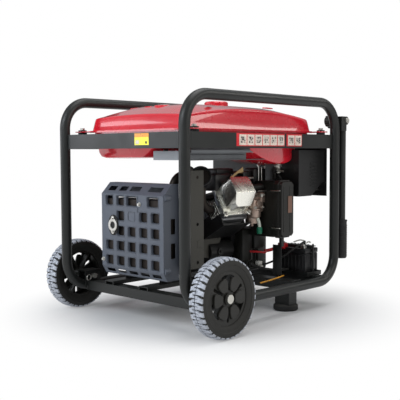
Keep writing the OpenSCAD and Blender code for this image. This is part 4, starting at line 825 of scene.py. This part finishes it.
# Sheet bracket between the crankcase and the muffler side, with a lightening fold
plate = bmesh.new()
prism(plate, [(-0.112, 0.250), (0.010, 0.258), (-0.006, 0.222), (-0.038, 0.196), (-0.060, 0.176),
              (-0.100, 0.180), (-0.112, 0.200)], 0.0, 0.0025, Matrix.Translation((0, -0.052, 0))
      @ Matrix.Rotation(math.pi / 2, 4, "X"))
sweep_along(plate, [V(-112, -55, 251), V(-50, -56, 255), V(10, -55, 259)], 0.0026, 8)
as_piece("side_bracket", plate, shield_paint, "frame", 40, bevel=0.0006)
# Upper black block of the engine: cowling top, governor arm, throttle bracket and ignition coil
top_works = bmesh.new()
brick(top_works, V(-88, -112, 392), V(-10, -30, 446), 0.008)
brick(top_works, V(-14, -104, 386), V(50, -28, 436), 0.007)
brick(top_works, V(44, -112, 402), V(86, -60, 452), 0.005)
brick(top_works, V(-60, -92, 440), V(20, -40, 462), 0.005)
brick(top_works, V(86, -120, 398), V(150, -78, 462), 0.006)
as_piece("cowling_top", top_works, shroud_paint, "frame", 40)
# Cooling fins showing between the cowling and the rocker cover
fins = [(cylinder @ Vector((-0.058, 0.004, 0.168 + 0.0062 * k)), (math.radians(60), 0, 0))
        for k in range(7)]
fin = bmesh.new()
brick(fin, (-0.010, -0.030, -0.0008), (0.004, 0.034, 0.0008), 0.0005, 1)
copied("head_fin_tips", fin, fins, bright_alloy, "frame")
# Disc cap of the exhaust joint and its black surround
disc = bmesh.new()
turned(disc, [(0.0001, 0), (0.025, 0), (0.0272, 0.0016), (0.0272, 0.006), (0.0001, 0.006)],
       Matrix.Translation(V(-145, -104, 438)) @ Matrix.Rotation(math.radians(62), 4, "X") @ Matrix.Rotation(
           math.radians(-38), 4, "Y"), 40)
as_piece("joint_disc", disc, exhaust_steel, "frame", 35, bevel=0.0006)
surround = bmesh.new()
turned(surround, [(0.0268, -0.012), (0.0330, -0.012), (0.0330, 0.0085), (0.0310, 0.0100), (0.0285, 0.0100),
                  (0.0268, 0.0080)],
       Matrix.Translation(V(-145, -103, 438)) @ Matrix.Rotation(math.radians(62), 4, "X") @ Matrix.Rotation(
           math.radians(-38), 4, "Y"), 40, closed=True)
as_piece("joint_surround", surround, shroud_paint, "frame", 35)
# Yellow-passivated throttle bracket over the cover
gold = finish("gold_passivated", (0.55, 0.40, 0.20), 0.38, metal=1.0, dusty=0.1, grain_size=500.0, cloud=0.25)
bracket = bmesh.new()
prism(bracket, [(-0.030, 0.434), (0.004, 0.452), (0.033, 0.466), (0.036, 0.450), (0.008, 0.446),
                (-0.024, 0.428)],
      0.0, 0.0018, Matrix.Translation((0, -0.118, 0)) @ Matrix.Rotation(math.pi / 2, 4, "X"))
brick(bracket, V(8, -119, 446), V(34, -92, 449), 0.0005, 1)
as_piece("throttle_bracket", bracket, gold, "frame", 40, bevel=0.0004)
# Carburettor dress: bowl, clear drain tube with its green cap, links and levers
bowl = bmesh.new()
turned(bowl, [(0.0001, 0), (0.014, 0), (0.0195, 0.004), (0.0205, 0.010), (0.0205, 0.026), (0.023, 0.027),
              (0.023, 0.031), (0.0001, 0.031)], Matrix.Translation(V(66, -140, 300)), 36)
brick(bowl, V(42, -158, 330), V(92, -118, 362), 0.004)
brick(bowl, V(76, -160, 352), V(98, -120, 384), 0.003)
turned(bowl, [(0.0001, 0), (0.009, 0), (0.009, 0.014), (0.0001, 0.014)],
       Matrix.Translation(V(60, -150, 350)) @ Matrix.Rotation(math.pi / 2, 4, "X"), 24)
as_piece("carburettor_body", bowl, zinc_casting, "frame", 40, bevel=0.0008)
copied("carburettor_screws", hex_screw(0.007), [
    (V(48, -158, 336), facing(0, -1, 0)), (V(86, -158, 336), facing(0, -1, 0)),
    (V(87, -160, 376), facing(0, -1, 0)), (V(54, -140, 300), facing(0, 0, -1)),
    (V(78, -140, 300), facing(0, 0, -1))], zinc, "frame")
clear_hose = finish("clear_hose", (0.62, 0.66, 0.58), 0.2, dusty=0.05, grain_size=300.0, bump=0.1)
green_cap = finish("green_cap", (0.010, 0.16, 0.085), 0.35, dusty=0.05, grain_size=700.0)
drain = bmesh.new()
sweep_along(drain, [V(66, -146, 312), V(68, -152, 300), V(72, -155, 284), V(73, -156, 268)], 0.0052, 14)
as_piece("drain_tube", drain, clear_hose, "frame", 60)
cap = bmesh.new()
turned(cap, [(0.0001, 0), (0.007, 0), (0.0088, 0.003), (0.0088, 0.019), (0.0068, 0.022), (0.0001, 0.022)],
       Matrix.Translation(V(73, -156, 250)), 24)
turned(cap, [(0.006, 0.0), (0.0075, 0.001), (0.0072, 0.024), (0.0058, 0.025)],
       Matrix.Translation(V(67, -148, 300)), 20, closed=True)
as_piece("drain_cap", cap, green_cap, "frame", 40)
links = bmesh.new()
sweep_along(links, [V(58, -164, 389), V(116, -166, 388)], 0.0028, 10)
sweep_along(links, [V(106, -124, 470), V(106, -124, 402)], 0.0024, 10)
sweep_along(links, [V(118, -126, 464), V(119, -126, 420), V(112, -130, 404)], 0.0020, 10)
sweep_along(links, [V(100, -124, 470), V(136, -124, 470), V(138, -124, 460)], 0.0026, 10)
sweep_along(links, [V(-20, -116, 442), V(-2, -122, 424), V(10, -126, 414)], 0.0016, 8)
as_piece("control_links", links, bare_steel, "frame", 60)
springs = bmesh.new()
sweep_along(springs, [Vector((0.048 + 0.0007 * k, -0.126 + 0.003 * math.cos(k * 1.2),
                              0.430 + 0.003 * math.sin(k * 1.2)))
                      for k in range(44)], 0.0007, 5, 2)
as_piece("governor_spring", springs, bare_steel, "frame", 60)
# Moulded duct from the head to the air cleaner, and the cleaner's rim, ribs and brown label
duct = bmesh.new()
sweep_along(duct, [V(36, -112, 398), V(72, -138, 400), V(110, -150, 402), V(130, -152, 404)], 0.0105, 18)
as_piece("breather_duct", duct, black_plastic, "frame", 60)
lid_low, lid_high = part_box("air_box_cover")
lid = bmesh.new()
for inset, y0, y1 in ((0.0, -0.2160, -0.1965), (0.0035, -0.2275, -0.2150)):
    corner = [(x, z) for x, z, lift in cut_corners(
        lid_high.x - lid_low.x - inset * 2, lid_high.z - lid_low.z - inset * 2, 0.012 - inset)]
    prism(lid, corner, -y1, -y0,
          Matrix.Translation(((lid_low.x + lid_high.x) / 2, 0, (lid_low.z + lid_high.z) / 2))
          @ Matrix.Rotation(math.pi / 2, 4, "X"), shrink=0.03 if inset else 0.0)
for x in (-0.020, 0.012):
    brick(lid, ((lid_low.x + lid_high.x) / 2 + x - 0.0012, -0.2290, lid_low.z + 0.020),
          ((lid_low.x + lid_high.x) / 2 + x + 0.0012, -0.2260, lid_high.z - 0.020), 0.001)
as_piece("cleaner_lid", lid, black_plastic, "frame", 35, bevel=0.0022, segments=3,
         replaces=("air_box_cover",))
brown_label = finish("brown_label", (0.165, 0.088, 0.062), 0.5, dusty=0.1, grain_size=700.0)
tag = bmesh.new()
brick(tag, V(128, -229.2, 318), V(149, -228.0, 372), 0.0004, 1)
as_piece("cleaner_label", tag, brown_label, "frame")
clips = bmesh.new()
for z in (0.270, 0.390):
    sweep_along(clips, [Vector((lid_low.x - 0.0015, -0.226, z)), Vector((lid_low.x - 0.003, -0.214, z)),
                        Vector((lid_low.x - 0.001, -0.196, z)), Vector((lid_low.x + 0.002, -0.186, z))],
                0.0018, 8)
as_piece("cleaner_clips", clips, bare_steel, "frame", 60)

# ---- battery and leads ----------------------------------------------------------------------
# A sealed lead battery stands in a steel tray under a strap. Its lid carries two terminals, a
# red booted lead runs to the starter, and thin harness leads follow the engine rails.

battery_plastic = finish("battery_plastic", (0.012, 0.012, 0.013), 0.32, dusty=0.2, grain_size=900.0,
                         bump=0.2, radius=0.002)
lead_red = finish("lead_red", (0.42, 0.008, 0.012), 0.35, dusty=0.05, grain_size=700.0)
lead_orange = finish("lead_orange", (0.55, 0.25, 0.02), 0.4, dusty=0.1, grain_size=700.0)
lead_white = finish("lead_white", (0.55, 0.54, 0.50), 0.4, dusty=0.1, grain_size=700.0)
dress(battery_plastic, "battery_case")
pack_low, pack_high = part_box("battery_case")
deck = pack_high.z - 0.012
shell = bmesh.new()
brick(shell, (pack_low.x, pack_low.y, pack_low.z), (pack_high.x, pack_high.y, deck - 0.020), 0.0025)
brick(shell, (pack_low.x - 0.001, pack_low.y - 0.001, deck - 0.0195),
      (pack_high.x + 0.001, pack_high.y + 0.001, deck - 0.003), 0.003)
brick(shell, (pack_low.x + 0.022, pack_low.y + 0.010, deck - 0.004),
      (pack_high.x - 0.006, pack_high.y - 0.010, deck + 0.004), 0.002)
for k in range(5):
    x = pack_low.x + 0.010 + k * 0.0125
    brick(shell, (x - 0.0015, pack_low.y - 0.0012, pack_low.z + 0.012),
          (x + 0.0015, pack_low.y + 0.001, deck - 0.026), 0.0008)
for k in range(7):
    y = pack_low.y + 0.012 + k * 0.0148
    brick(shell, (pack_low.x - 0.0012, y - 0.0015, pack_low.z + 0.012),
          (pack_low.x + 0.001, y + 0.0015, deck - 0.026), 0.0008)
as_piece("battery_shell", shell, battery_plastic, "frame", 40, replaces=("battery_case",))
caps = [(Vector((pack_low.x + 0.046, pack_low.y + 0.022 + 0.0138 * k, deck + 0.004)), (0, 0, 0))
        for k in range(6)]
plug = bmesh.new()
turned(plug, [(0.0001, 0), (0.0055, 0), (0.0055, 0.0016), (0.0046, 0.0026), (0.0001, 0.0026)], segments=20)
brick(plug, (-0.0040, -0.0007, 0.002), (0.0040, 0.0007, 0.0036), 0.0003, 1)
copied("vent_plugs", plug, caps, battery_plastic, "frame")
posts = bmesh.new()
for y in (pack_low.y + 0.016, pack_high.y - 0.016):
    brick(posts, (pack_low.x + 0.005, y - 0.008, deck - 0.004),
          (pack_low.x + 0.019, y + 0.008, deck + 0.006), 0.0012)
    turned(posts, [(0.0001, 0), (0.0055, 0), (0.0055, 0.005), (0.003, 0.0055), (0.003, 0.010),
                   (0.0001, 0.010)],
           Matrix.Translation((pack_low.x + 0.012, y, deck + 0.005)), 20)
as_piece("battery_posts", posts, bare_steel, "frame", 40)
boot = bmesh.new()
brick(boot, (pack_low.x - 0.010, pack_high.y - 0.030, deck - 0.010),
      (pack_low.x + 0.018, pack_high.y - 0.002, deck + 0.012), 0.005)
sweep_along(boot, [V(228, -122, 194), V(210, -120, 190), V(190, -112, 184), V(166, -100, 180)], 0.0058, 12)
as_piece("positive_boot", boot, lead_red, "frame", 50)
red = bmesh.new()
sweep_along(red, [V(172, -106, 181), V(146, -118, 179), V(120, -112, 183), V(98, -84, 184)], 0.0034, 12)
as_piece("positive_lead", red, lead_red, "frame", 60)
black = bmesh.new()
sweep_along(black, [V(248, -204, 206), V(236, -214, 214), V(206, -200, 196), V(170, -160, 160),
                    V(120, -100, 130), V(60, -60, 118)], 0.0034, 12)
sweep_along(black, [V(70, -120, 150), V(110, -130, 132), V(170, -140, 120), V(232, -150, 116)], 0.0045, 12)
sweep_along(black, [V(150, -168, 440), V(168, -170, 420), V(172, -160, 390), V(150, -140, 370),
                    V(120, -128, 362)],
            0.0042, 14)
sweep_along(black, [V(0, -66, 398), V(10, -60, 418), V(30, -50, 430)], 0.0035, 12)
sweep_along(black, [V(200, -120, 400), V(190, -110, 300), V(170, -60, 200), V(120, -20, 150)], 0.006, 12)
sweep_along(black, [V(196, -100, 400), V(180, -60, 300), V(150, -10, 220), V(100, 20, 160)], 0.005, 12)
as_piece("black_leads", black, black_rubber, "frame", 60, replaces=("hoses_leads",))
orange = bmesh.new()
sweep_along(orange, [V(10, -212, 104), V(50, -214, 107), V(100, -214, 111), V(136, -205, 112)], 0.0024, 10)
as_piece("signal_lead", orange, lead_orange, "frame", 60)
white = bmesh.new()
sweep_along(white, [V(262, -204, 455), V(272, -206, 440), V(280, -206, 420), V(278, -204, 404),
                    V(266, -200, 390), V(240, -196, 381), V(214, -192, 376)], 0.0022, 10)
for place in (V(278, -206, 426), V(281, -206, 416)):
    turned(white, [(0.0001, 0), (0.0045, 0), (0.0045, 0.006), (0.0001, 0.006)], Matrix.Translation(place), 16)
sweep_along(white, [V(246, -210, 207), V(262, -214, 212), V(280, -206, 208), V(296, -196, 206)], 0.0026, 10)
sweep_along(white, [V(250, -160, 208), V(270, -172, 214), V(288, -182, 209)], 0.0022, 10)
as_piece("pale_leads", white, lead_white, "frame", 60)
joiners = bmesh.new()
brick(joiners, V(104, -128, 142), V(122, -112, 154), 0.002)
brick(joiners, V(118, -122, 126), V(134, -106, 138), 0.002)
as_piece("lead_joiners", joiners, lead_white, "frame", 40)
# Regulator, solenoid and the lower blower duct fill the dark space behind the carburettor
works = bmesh.new()
brick(works, V(96, -60, 112), V(228, 60, 232), 0.006)
brick(works, V(64, -92, 150), V(116, -40, 262), 0.008)
brick(works, V(120, -96, 190), V(176, -30, 262), 0.006)
brick(works, V(-60, -60, 112), V(60, -30, 156), 0.005)
for k in range(6):
    brick(works, V(100 + 15 * k, -64, 120), V(104 + 15 * k, -59, 198), 0.001, 1)
as_piece("regulator_and_solenoid", works, black_plastic, "frame", 40)
post = bmesh.new()
brick(post, V(136, -196, 205), V(150, -186, 242), 0.001)
brick(post, V(136, -196, 112), V(138, -160, 210), 0.0006)
as_piece("cleaner_stay", post, powder_coat, "frame", 40)

# ---- control panel --------------------------------------------------------------------------
# A folded steel box hangs at the end away from the muffler. Its face plate carries the outlet
# sockets behind lids, the breakers, the hour counter, the key and the earth stud.

panel_paint = finish("panel_paint", (0.0075, 0.0075, 0.0078), 0.45, bare=(0.2, 0.2, 0.2), wear=0.3,
                     dusty=0.12, grain_size=1300.0, bump=0.14)
gauge_white = finish("gauge_face", (0.62, 0.60, 0.54), 0.35, dusty=0.1, grain_size=900.0)
dress(panel_paint, "panel_box", "panel_face")
dress(gauge_white, "fuel_gauge", "breaker_lever")
face_low, face_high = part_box("panel_face")
fittings = bmesh.new()
brick(fittings, (face_high.x - 0.001, 0.020, 0.530), (face_high.x + 0.004, 0.068, 0.552), 0.0015)
brick(fittings, (face_high.x - 0.001, -0.060, 0.530), (face_high.x + 0.003, -0.020, 0.552), 0.0015)
for y in (-0.206, -0.150, -0.040, 0.126):
    turned(fittings, [(0.0001, 0), (0.006, 0), (0.006, 0.0020), (0.004, 0.0035), (0.0001, 0.0035)],
           Matrix.Translation((face_high.x - 0.0002, y, 0.384)) @ Matrix.Rotation(math.pi / 2, 4, "Y"), 20)
as_piece("panel_fittings", fittings, black_plastic, "frame", 40)
copied("panel_screws", hex_screw(0.007), [
    (Vector((face_high.x, y, z)), facing(1, 0, 0)) for y in (face_low.y + 0.010, face_high.y - 0.010)
    for z in (face_low.z + 0.010, face_high.z - 0.010)], zinc, "frame")
louvre = bmesh.new()
prism(louvre, [(-0.020, 0.0), (0.020, 0.0), (0.018, 0.0045), (-0.018, 0.0045)], -0.001, 0.0026,
      Matrix.Rotation(math.pi / 2, 4, "X"), shrink=0.2)
box_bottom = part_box("panel_box")[0]
copied("panel_louvres", louvre, [(Vector((0.262, box_bottom.y, 0.400 + 0.012 * k)), (0, 0, 0))
                                 for k in range(7)], panel_paint, "frame")

# ---- fuel tank ------------------------------------------------------------------------------
# Two deep-drawn steel shells are seam welded at a narrow flange. The upper one has straight
# walls, a soft crease and an arched crown; all is sprayed gloss red with a clear coat.

def paint_tint(tree, where, colour):
    """A faint drift of the red across the pressing, from uneven spraying."""
    drift = spread(tree, noise(tree, where, 3.5, 2), 0.35, 0.65)
    return mixed(tree, drift, tuple(c * 0.93 for c in colour), tuple(c * 1.05 for c in colour))


tank_red = finish("tank_red", (0.60, 0.008, 0.022), 0.26, bare=(0.62, 0.05, 0.06), wear=0.25, dusty=0.05,
                  grain_size=260.0, bump=0.03, cloud=0.04, coat=1.0, coat_rough=0.05, tint=paint_tint,
                  radius=0.002)
mid_x, half_x, half_y, seam_z, peak_z = -0.0220, 0.299, 0.2150, 0.581, 0.6615


def ring_points(a, b, corner, count=14):
    """An outline of half-widths a and b with round corners, anticlockwise."""
    corner = min(corner, a - 0.002, b - 0.002)
    points = []
    for cx, cy, start in ((a - corner, b - corner, 0), (corner - a, b - corner, 90),
                          (corner - a, corner - b, 180), (a - corner, corner - b, 270)):
        for k in range(count):
            turn = math.radians(start + 90 * k / (count - 1))
            points.append((cx + corner * math.cos(turn), cy + corner * math.sin(turn)))
    dense = []
    for one, two in zip(points, points[1:] + points[:1]):
        gap = math.dist(one, two)
        steps = max(1, round(gap / 0.03)) if gap > 0.04 else 1
        dense.append([(one[0] + (two[0] - one[0]) * k / steps, one[1] + (two[1] - one[1]) * k / steps)
                      for k in range(steps)])
    return dense


def loft(bm, rings):
    """Skins equal rings of points and closes both ends."""
    loops = [[bm.verts.new(p) for p in ring] for ring in rings]
    for one, two in zip(loops, loops[1:]):
        for j in range(len(one)):
            bm.faces.new((one[j], one[(j + 1) % len(one)], two[(j + 1) % len(two)], two[j]))
    bm.faces.new(loops[0][::-1])
    bm.faces.new(loops[-1])


def crease(x, y):
    """Height of the crease where the walls turn into the crown."""
    return 0.6195 + 0.0245 * (1 - (x / 0.29) ** 2) + 0.0075 * (1 - (y / 0.21) ** 2)


segments_plan = ring_points(half_x, half_y, 0.020)
plan = [p for part in segments_plan for p in part]
levels = [(0.0, -1.0, 0), (0.0008, 0.03, 0), (0.0035, 0.45, 0), (0.0065, 0.93, 0), (0.0085, 1.0, 0.0),
          (0.0115, 1.0, 0.055), (0.0165, 1.0, 0.10), (0.028, 1.0, 0.20), (0.045, 1.0, 0.36),
          (0.066, 1.0, 0.55),
          (0.090, 1.0, 0.75), (0.118, 1.0, 0.91), (0.150, 1.0, 0.985), (0.185, 1.0, 1.0)]
upper_rings = []
for inset, wall, crown_share in levels:
    ring = []
    for px, py in plan:
        sx, sy = (half_x - inset) / half_x, (half_y - inset) / half_y
        x, y = px * sx, py * sy
        edge = crease(px, py)
        if wall < 1:
            z = seam_z + (edge - 0.0045 - seam_z) * max(wall, 0)
        else:
            z = edge + (peak_z - edge) * crown_share
        ring.append((mid_x + x, y, z))
    upper_rings.append(ring)
upper = bmesh.new()
loft(upper, upper_rings)
as_piece("tank_upper_shell", upper, tank_red, "frame", 60, replaces=("tank_upper",))
cap_low, cap_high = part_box("fuel_cap")
cap_x, cap_y = (cap_low.x + cap_high.x) / 2, (cap_low.y + cap_high.y) / 2
details = bmesh.new()
turned(details, [(0.040, 0.6600), (0.0385, 0.6632), (0.0300, 0.6640), (0.0265, 0.6655), (0.0265, 0.6700),
                 (0.0235, 0.6700), (0.0235, 0.6560), (0.040, 0.6560)],
       Matrix.Translation((cap_x, cap_y, 0)), 48, closed=True)
gauge_low, gauge_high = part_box("fuel_gauge")
gauge_x, gauge_y = (gauge_low.x + gauge_high.x) / 2, (gauge_low.y + gauge_high.y) / 2
turned(details, [(0.034, 0.6540), (0.031, 0.6605), (0.0265, 0.6618), (0.0205, 0.6610), (0.0205, 0.6540)],
       Matrix.Translation((gauge_x, gauge_y, -0.0030)), 40, closed=True)
for x, y, long, wide, angle in ((-0.205, 0.128, 0.052, 0.016, 78), (-0.214, 0.056, 0.034, 0.012, 84),
                                (-0.160, -0.150, 0.034, 0.014, 20), (0.120, 0.150, 0.060, 0.014, -12),
                                (0.120, -0.150, 0.060, 0.014, 12)):
    outline = [(u, v) for part in ring_points(long / 2, wide / 2, wide * 0.45, 5) for u, v in part]
    slope = (peak_z - 0.0042 - max(0.0, abs(x - mid_x) - 0.15) * 0.10 - max(0.0, abs(y) - 0.09) * 0.06)
    prism(details, outline, 0, 0.0036, Matrix.Translation((x, y, slope))
          @ Matrix.Rotation(math.radians(angle), 4, "Z"), shrink=0.12)
dress(tank_red, "fuel_cap")
as_piece("tank_pressings", details, tank_red, "frame", 40, bevel=0.0008)
# Seam flange with the four mounting wings
seam = bmesh.new()
prism(seam, [(mid_x + x * (half_x + 0.0050) / half_x, y * (half_y + 0.0050) / half_y) for x, y in plan],
      0.5760, 0.5822)
wing_x = (-0.3235, 0.2765)
for x in wing_x:
    for side in (-1, 1):
        brick(seam, (x - 0.017, min(side * 0.190, side * 0.2655), 0.5772),
              (x + 0.017, max(side * 0.190, side * 0.2655), 0.5808), 0.0012)
        brick(seam, (min(x, x * 0.86) - 0.006, min(side * 0.190, side * 0.215), 0.5772),
              (max(x, x * 0.86) + 0.006, max(side * 0.190, side * 0.215), 0.5808), 0.0012)
as_piece("tank_seam", seam, tank_red, "frame", 35, bevel=0.0010)
# Lower shell: a shelf, a deeper belly on the far side and the rounded sump with the drain
lower = bmesh.new()
sump_line = [(-0.034, 0.535), (-0.022, 0.518), (0.000, 0.507), (0.030, 0.494), (0.060, 0.484),
             (0.090, 0.4775),
             (0.122, 0.4735), (0.152, 0.4740), (0.172, 0.4785), (0.186, 0.4850), (0.196, 0.4935),
             (0.203, 0.5050), (0.208, 0.5220), (0.210, 0.5400), (0.210, 0.5600), (-0.034, 0.5600)]


def pressed_profile(bm, line, low, high, rounding, along_y=True):
    """A pressing with a curved section, its two end walls rounded in."""
    mid = (sum(p[0] for p in line) / len(line), max(p[1] for p in line))
    rings = []
    for place, inset in ((low, rounding), (low + rounding * 0.3, rounding * 0.3), (low + rounding, 0.0),
                         (high - rounding, 0.0), (high - rounding * 0.3, rounding * 0.3), (high, rounding)):
        ring = []
        for u, z in line:
            reach = math.hypot(u - mid[0], z - mid[1])
            share = max(0.0, 1 - inset / max(reach, 1e-6))
            cu, cz = mid[0] + (u - mid[0]) * share, mid[1] + (z - mid[1]) * share
            ring.append((cu, place, cz) if along_y else (place, cu, cz))
        rings.append(ring)
    loft(bm, rings)


pressed_profile(lower, sump_line, -0.2010, -0.036, 0.012)
pan_line = [(0.199, 0.560), (0.1985, 0.530), (0.193, 0.512), (0.181, 0.500), (0.160, 0.4955), (0.060, 0.4955),
            (-0.005, 0.4965), (-0.026, 0.5005), (-0.044, 0.5120), (-0.062, 0.5250), (-0.078, 0.5330),
            (-0.078, 0.560)]
pressed_profile(lower, pan_line, -0.3075, 0.180, 0.012, along_y=False)
shelf = [p for part in ring_points(half_x - 0.006, half_y - 0.006, 0.020) for p in part]
loft(lower, [[(mid_x + x * s, y * s, z) for x, y in shelf] for s, z in (
    (0.965, 0.5325), (0.985, 0.5345), (0.996, 0.5400), (1.0, 0.5500), (1.0, 0.5770))])
as_piece("tank_lower_shell", lower, tank_red, "frame", 40, replaces=("tank_lower",))
bung = bmesh.new()
valve_low, valve_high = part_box("fuel_valve")
turned(bung, [(0.013, 0), (0.011, 0.004), (0.0001, 0.004), (0.0001, -0.004), (0.013, -0.004)],
       Matrix.Translation(((valve_low.x + valve_high.x) / 2 + 0.001, -0.168, 0.4730))
       @ Matrix.Rotation(math.pi, 4, "X"), 24)
as_piece("drain_bung", bung, zinc, "frame")
# Heat shield under the tank: a pressed grey tray with two long ribs and a turned lip
tray = bmesh.new()
tray_low, tray_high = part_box("tank_heat_shield")
for z, y in ((0.5200, -0.1945), (0.5050, -0.1945)):
    sweep_along(tray, [Vector((tray_low.x + 0.010, y, z)), Vector((tray_high.x - 0.010, y, z))], 0.0016, 8)
brick(tray, (tray_low.x - 0.002, -0.1965, tray_low.z - 0.001),
      (tray_high.x + 0.100, -0.1930, tray_low.z + 0.0015), 0.0007)
brick(tray, (tray_low.x + 0.020, -0.1960, 0.5120), (tray_high.x + 0.120, -0.1930, 0.5270), 0.0007)
as_piece("tank_shield_ribs", tray, tank_shield, "frame", 40)

# ---- folding handles ------------------------------------------------------------------------
# Two tube handles fold down beside the end posts. Ribbed rubber grips are pressed on them and
# moulded knobs lock their pivots.

grip_rubber = finish("grip_rubber", (0.014, 0.014, 0.015), 0.65, dusty=0.2, grain_size=800.0, bump=0.3)
dress(grip_rubber, "grip_left", "grip_right")
for side, hand in ((-1, "left"), (1, "right")):
    grip_low, grip_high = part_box("grip_" + hand)
    grip_x, grip_y = (grip_low.x + grip_high.x) / 2, (grip_low.y + grip_high.y) / 2
    grip_r = (grip_high.x - grip_low.x) / 2 - 0.0016
    core = bmesh.new()
    turned(core, [(0.0001, 0), (grip_r - 0.003, 0), (grip_r, 0.003),
                  (grip_r, grip_high.z - grip_low.z - 0.006),
                  (grip_r + 0.0014, grip_high.z - grip_low.z - 0.004),
                  (grip_r + 0.0014, grip_high.z - grip_low.z),
                  (0.0001, grip_high.z - grip_low.z)], Matrix.Translation((grip_x, grip_y, grip_low.z)), 40)
    as_piece("grip_sleeve_" + hand, core, grip_rubber, hand + "_handle", 30,
             replaces=("grip_" + hand,))
    rib = bmesh.new()
    turned(rib, [(grip_r - 0.002, -0.0022), (grip_r + 0.0012, -0.0016), (grip_r + 0.0016, 0.0),
                 (grip_r + 0.0012, 0.0016), (grip_r - 0.002, 0.0022)], segments=40, closed=True)
    copied("grip_ribs_" + hand, rib, [
        (Vector((grip_x, grip_y, grip_low.z + 0.010 + 0.0078 * k)), (0, 0, 0)) for k in range(14)],
        grip_rubber, hand + "_handle")
    # Deep lobed knob on the inner side of the post, and the pivot bolt's end in its face
    knob_low, knob_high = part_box("knob_" + hand)
    knob_mid = Vector(((knob_low.x + knob_high.x) / 2, 0, (knob_low.z + knob_high.z) / 2))
    knob_y = knob_low.y if side < 0 else knob_high.y
    inner_face = knob_y - side * 0.044
    lobed = [((0.0235 + 0.0022 * math.cos(8 * a)) * math.cos(a),
              (0.0235 + 0.0022 * math.cos(8 * a)) * math.sin(a))
             for a in (math.tau * k / 96 for k in range(96))]
    inward = (Matrix.Translation((knob_mid.x, knob_y, knob_mid.z))
              @ Matrix.Rotation(side * math.pi / 2, 4, "X"))
    grip = bmesh.new()
    prism(grip, lobed, 0.012, 0.038, inward, shrink=0.06)
    turned(grip, [(0.0001, 0), (0.013, 0), (0.015, 0.012), (0.0001, 0.012)], inward, 32)
    turned(grip, [(0.0001, 0.0375), (0.0195, 0.0375), (0.0175, 0.044), (0.0001, 0.044)], inward, 32)
    as_piece("knob_grip_" + hand, grip, black_plastic, hand + "_knob", 40, bevel=0.0010,
             replaces=("knob_" + hand,))
    insert = bmesh.new()
    turned(insert, [(0.0001, 0), (0.006, 0), (0.006, 0.002), (0.004, 0.0026), (0.004, 0.005),
                    (0.0001, 0.005)],
           Matrix.Translation(((knob_low.x + knob_high.x) / 2, inner_face, (knob_low.z + knob_high.z) / 2))
           @ Matrix.Rotation(side * math.pi / 2, 4, "X"), 20)
    as_piece("knob_insert_" + hand, insert, zinc, hand + "_knob")

# ---- labels ---------------------------------------------------------------------------------
# Printed film labels sit on the tank rails: a yellow one at the muffler end and a red-framed
# strip of pictogram fields on the long side. Their marks are plain shapes, without words.


def label_finish(name, ground, mark, density, fill):
    """Printed film: small blocks of marks scattered in rows over the ground colour."""

    def tint(tree, where, colour):
        cells = tree.nodes.new("ShaderNodeTexVoronoi")
        cells.distance = "CHEBYCHEV"
        cells.inputs["Scale"].default_value = density
        cells.inputs["Randomness"].default_value = 0.55
        wire(tree, (where, cells.inputs["Vector"]))
        return mixed(tree, spread(tree, cells.outputs["Distance"], fill, fill + 0.05), mark, ground)

    return finish(name, ground, 0.35, dusty=0.06, grain_size=600.0, bump=0.04, tint=tint, radius=0.0004)


yellow_film = label_finish("yellow_film", (0.86, 0.80, 0.05), (0.62, 0.56, 0.06), 260.0, 0.16)
orange_film = label_finish("orange_film", (0.85, 0.33, 0.04), (0.50, 0.06, 0.02), 190.0, 0.20)
red_film = finish("red_film", (0.62, 0.02, 0.03), 0.35, dusty=0.06, grain_size=600.0, bump=0.04)
pale_film = label_finish("pale_film", (0.74, 0.64, 0.56), (0.16, 0.13, 0.12), 330.0, 0.20)
sign_film = label_finish("sign_film", (0.60, 0.52, 0.46), (0.06, 0.05, 0.05), 150.0, 0.36)
dark_film = finish("dark_film", (0.03, 0.03, 0.03), 0.4, dusty=0.06, grain_size=600.0, bump=0.04)


def film(name, material, low, high):
    bm = bmesh.new()
    brick(bm, low, high, 0.0001, 1)
    as_piece(name, bm, material, "frame")


end_x = rail_low.x
film("end_label", yellow_film, (end_x - 0.0005, -0.1270, 0.5345), (end_x + 0.0002, -0.0670, 0.5570))
film("end_label_head", orange_film, (end_x - 0.0005, -0.1270, 0.5570), (end_x + 0.0002, -0.0670, 0.5680))
film("end_label_sign", dark_film, (end_x - 0.0008, -0.1200, 0.5385), (end_x - 0.0004, -0.1130, 0.5450))
film("end_label_field", pale_film, (end_x - 0.0008, -0.0860, 0.5375), (end_x - 0.0004, -0.0720, 0.5480))
side_y = rail_low.y
for strip, x0, x1, fields in (("long", -0.1690, 0.0560, 6), ("short", 0.0660, 0.1450, 2)):
    film(f"side_label_{strip}", red_film, (x0, side_y - 0.0004, 0.5310), (x1, side_y + 0.0002, 0.5690))
    head = 0.011 if fields == 6 else 0.006
    width = (x1 - x0 - head) / fields
    for k in range(fields):
        left = x0 + head + width * k
        film(f"side_label_{strip}_field_{k}", pale_film, (left + 0.0012, side_y - 0.0007, 0.5335),
             (left + width - 0.0022, side_y - 0.0003, 0.5650))
        film(f"side_label_{strip}_sign_{k}", sign_film, (left + 0.0080, side_y - 0.0010, 0.5405),
             (left + width - 0.0085, side_y - 0.0006, 0.5590))
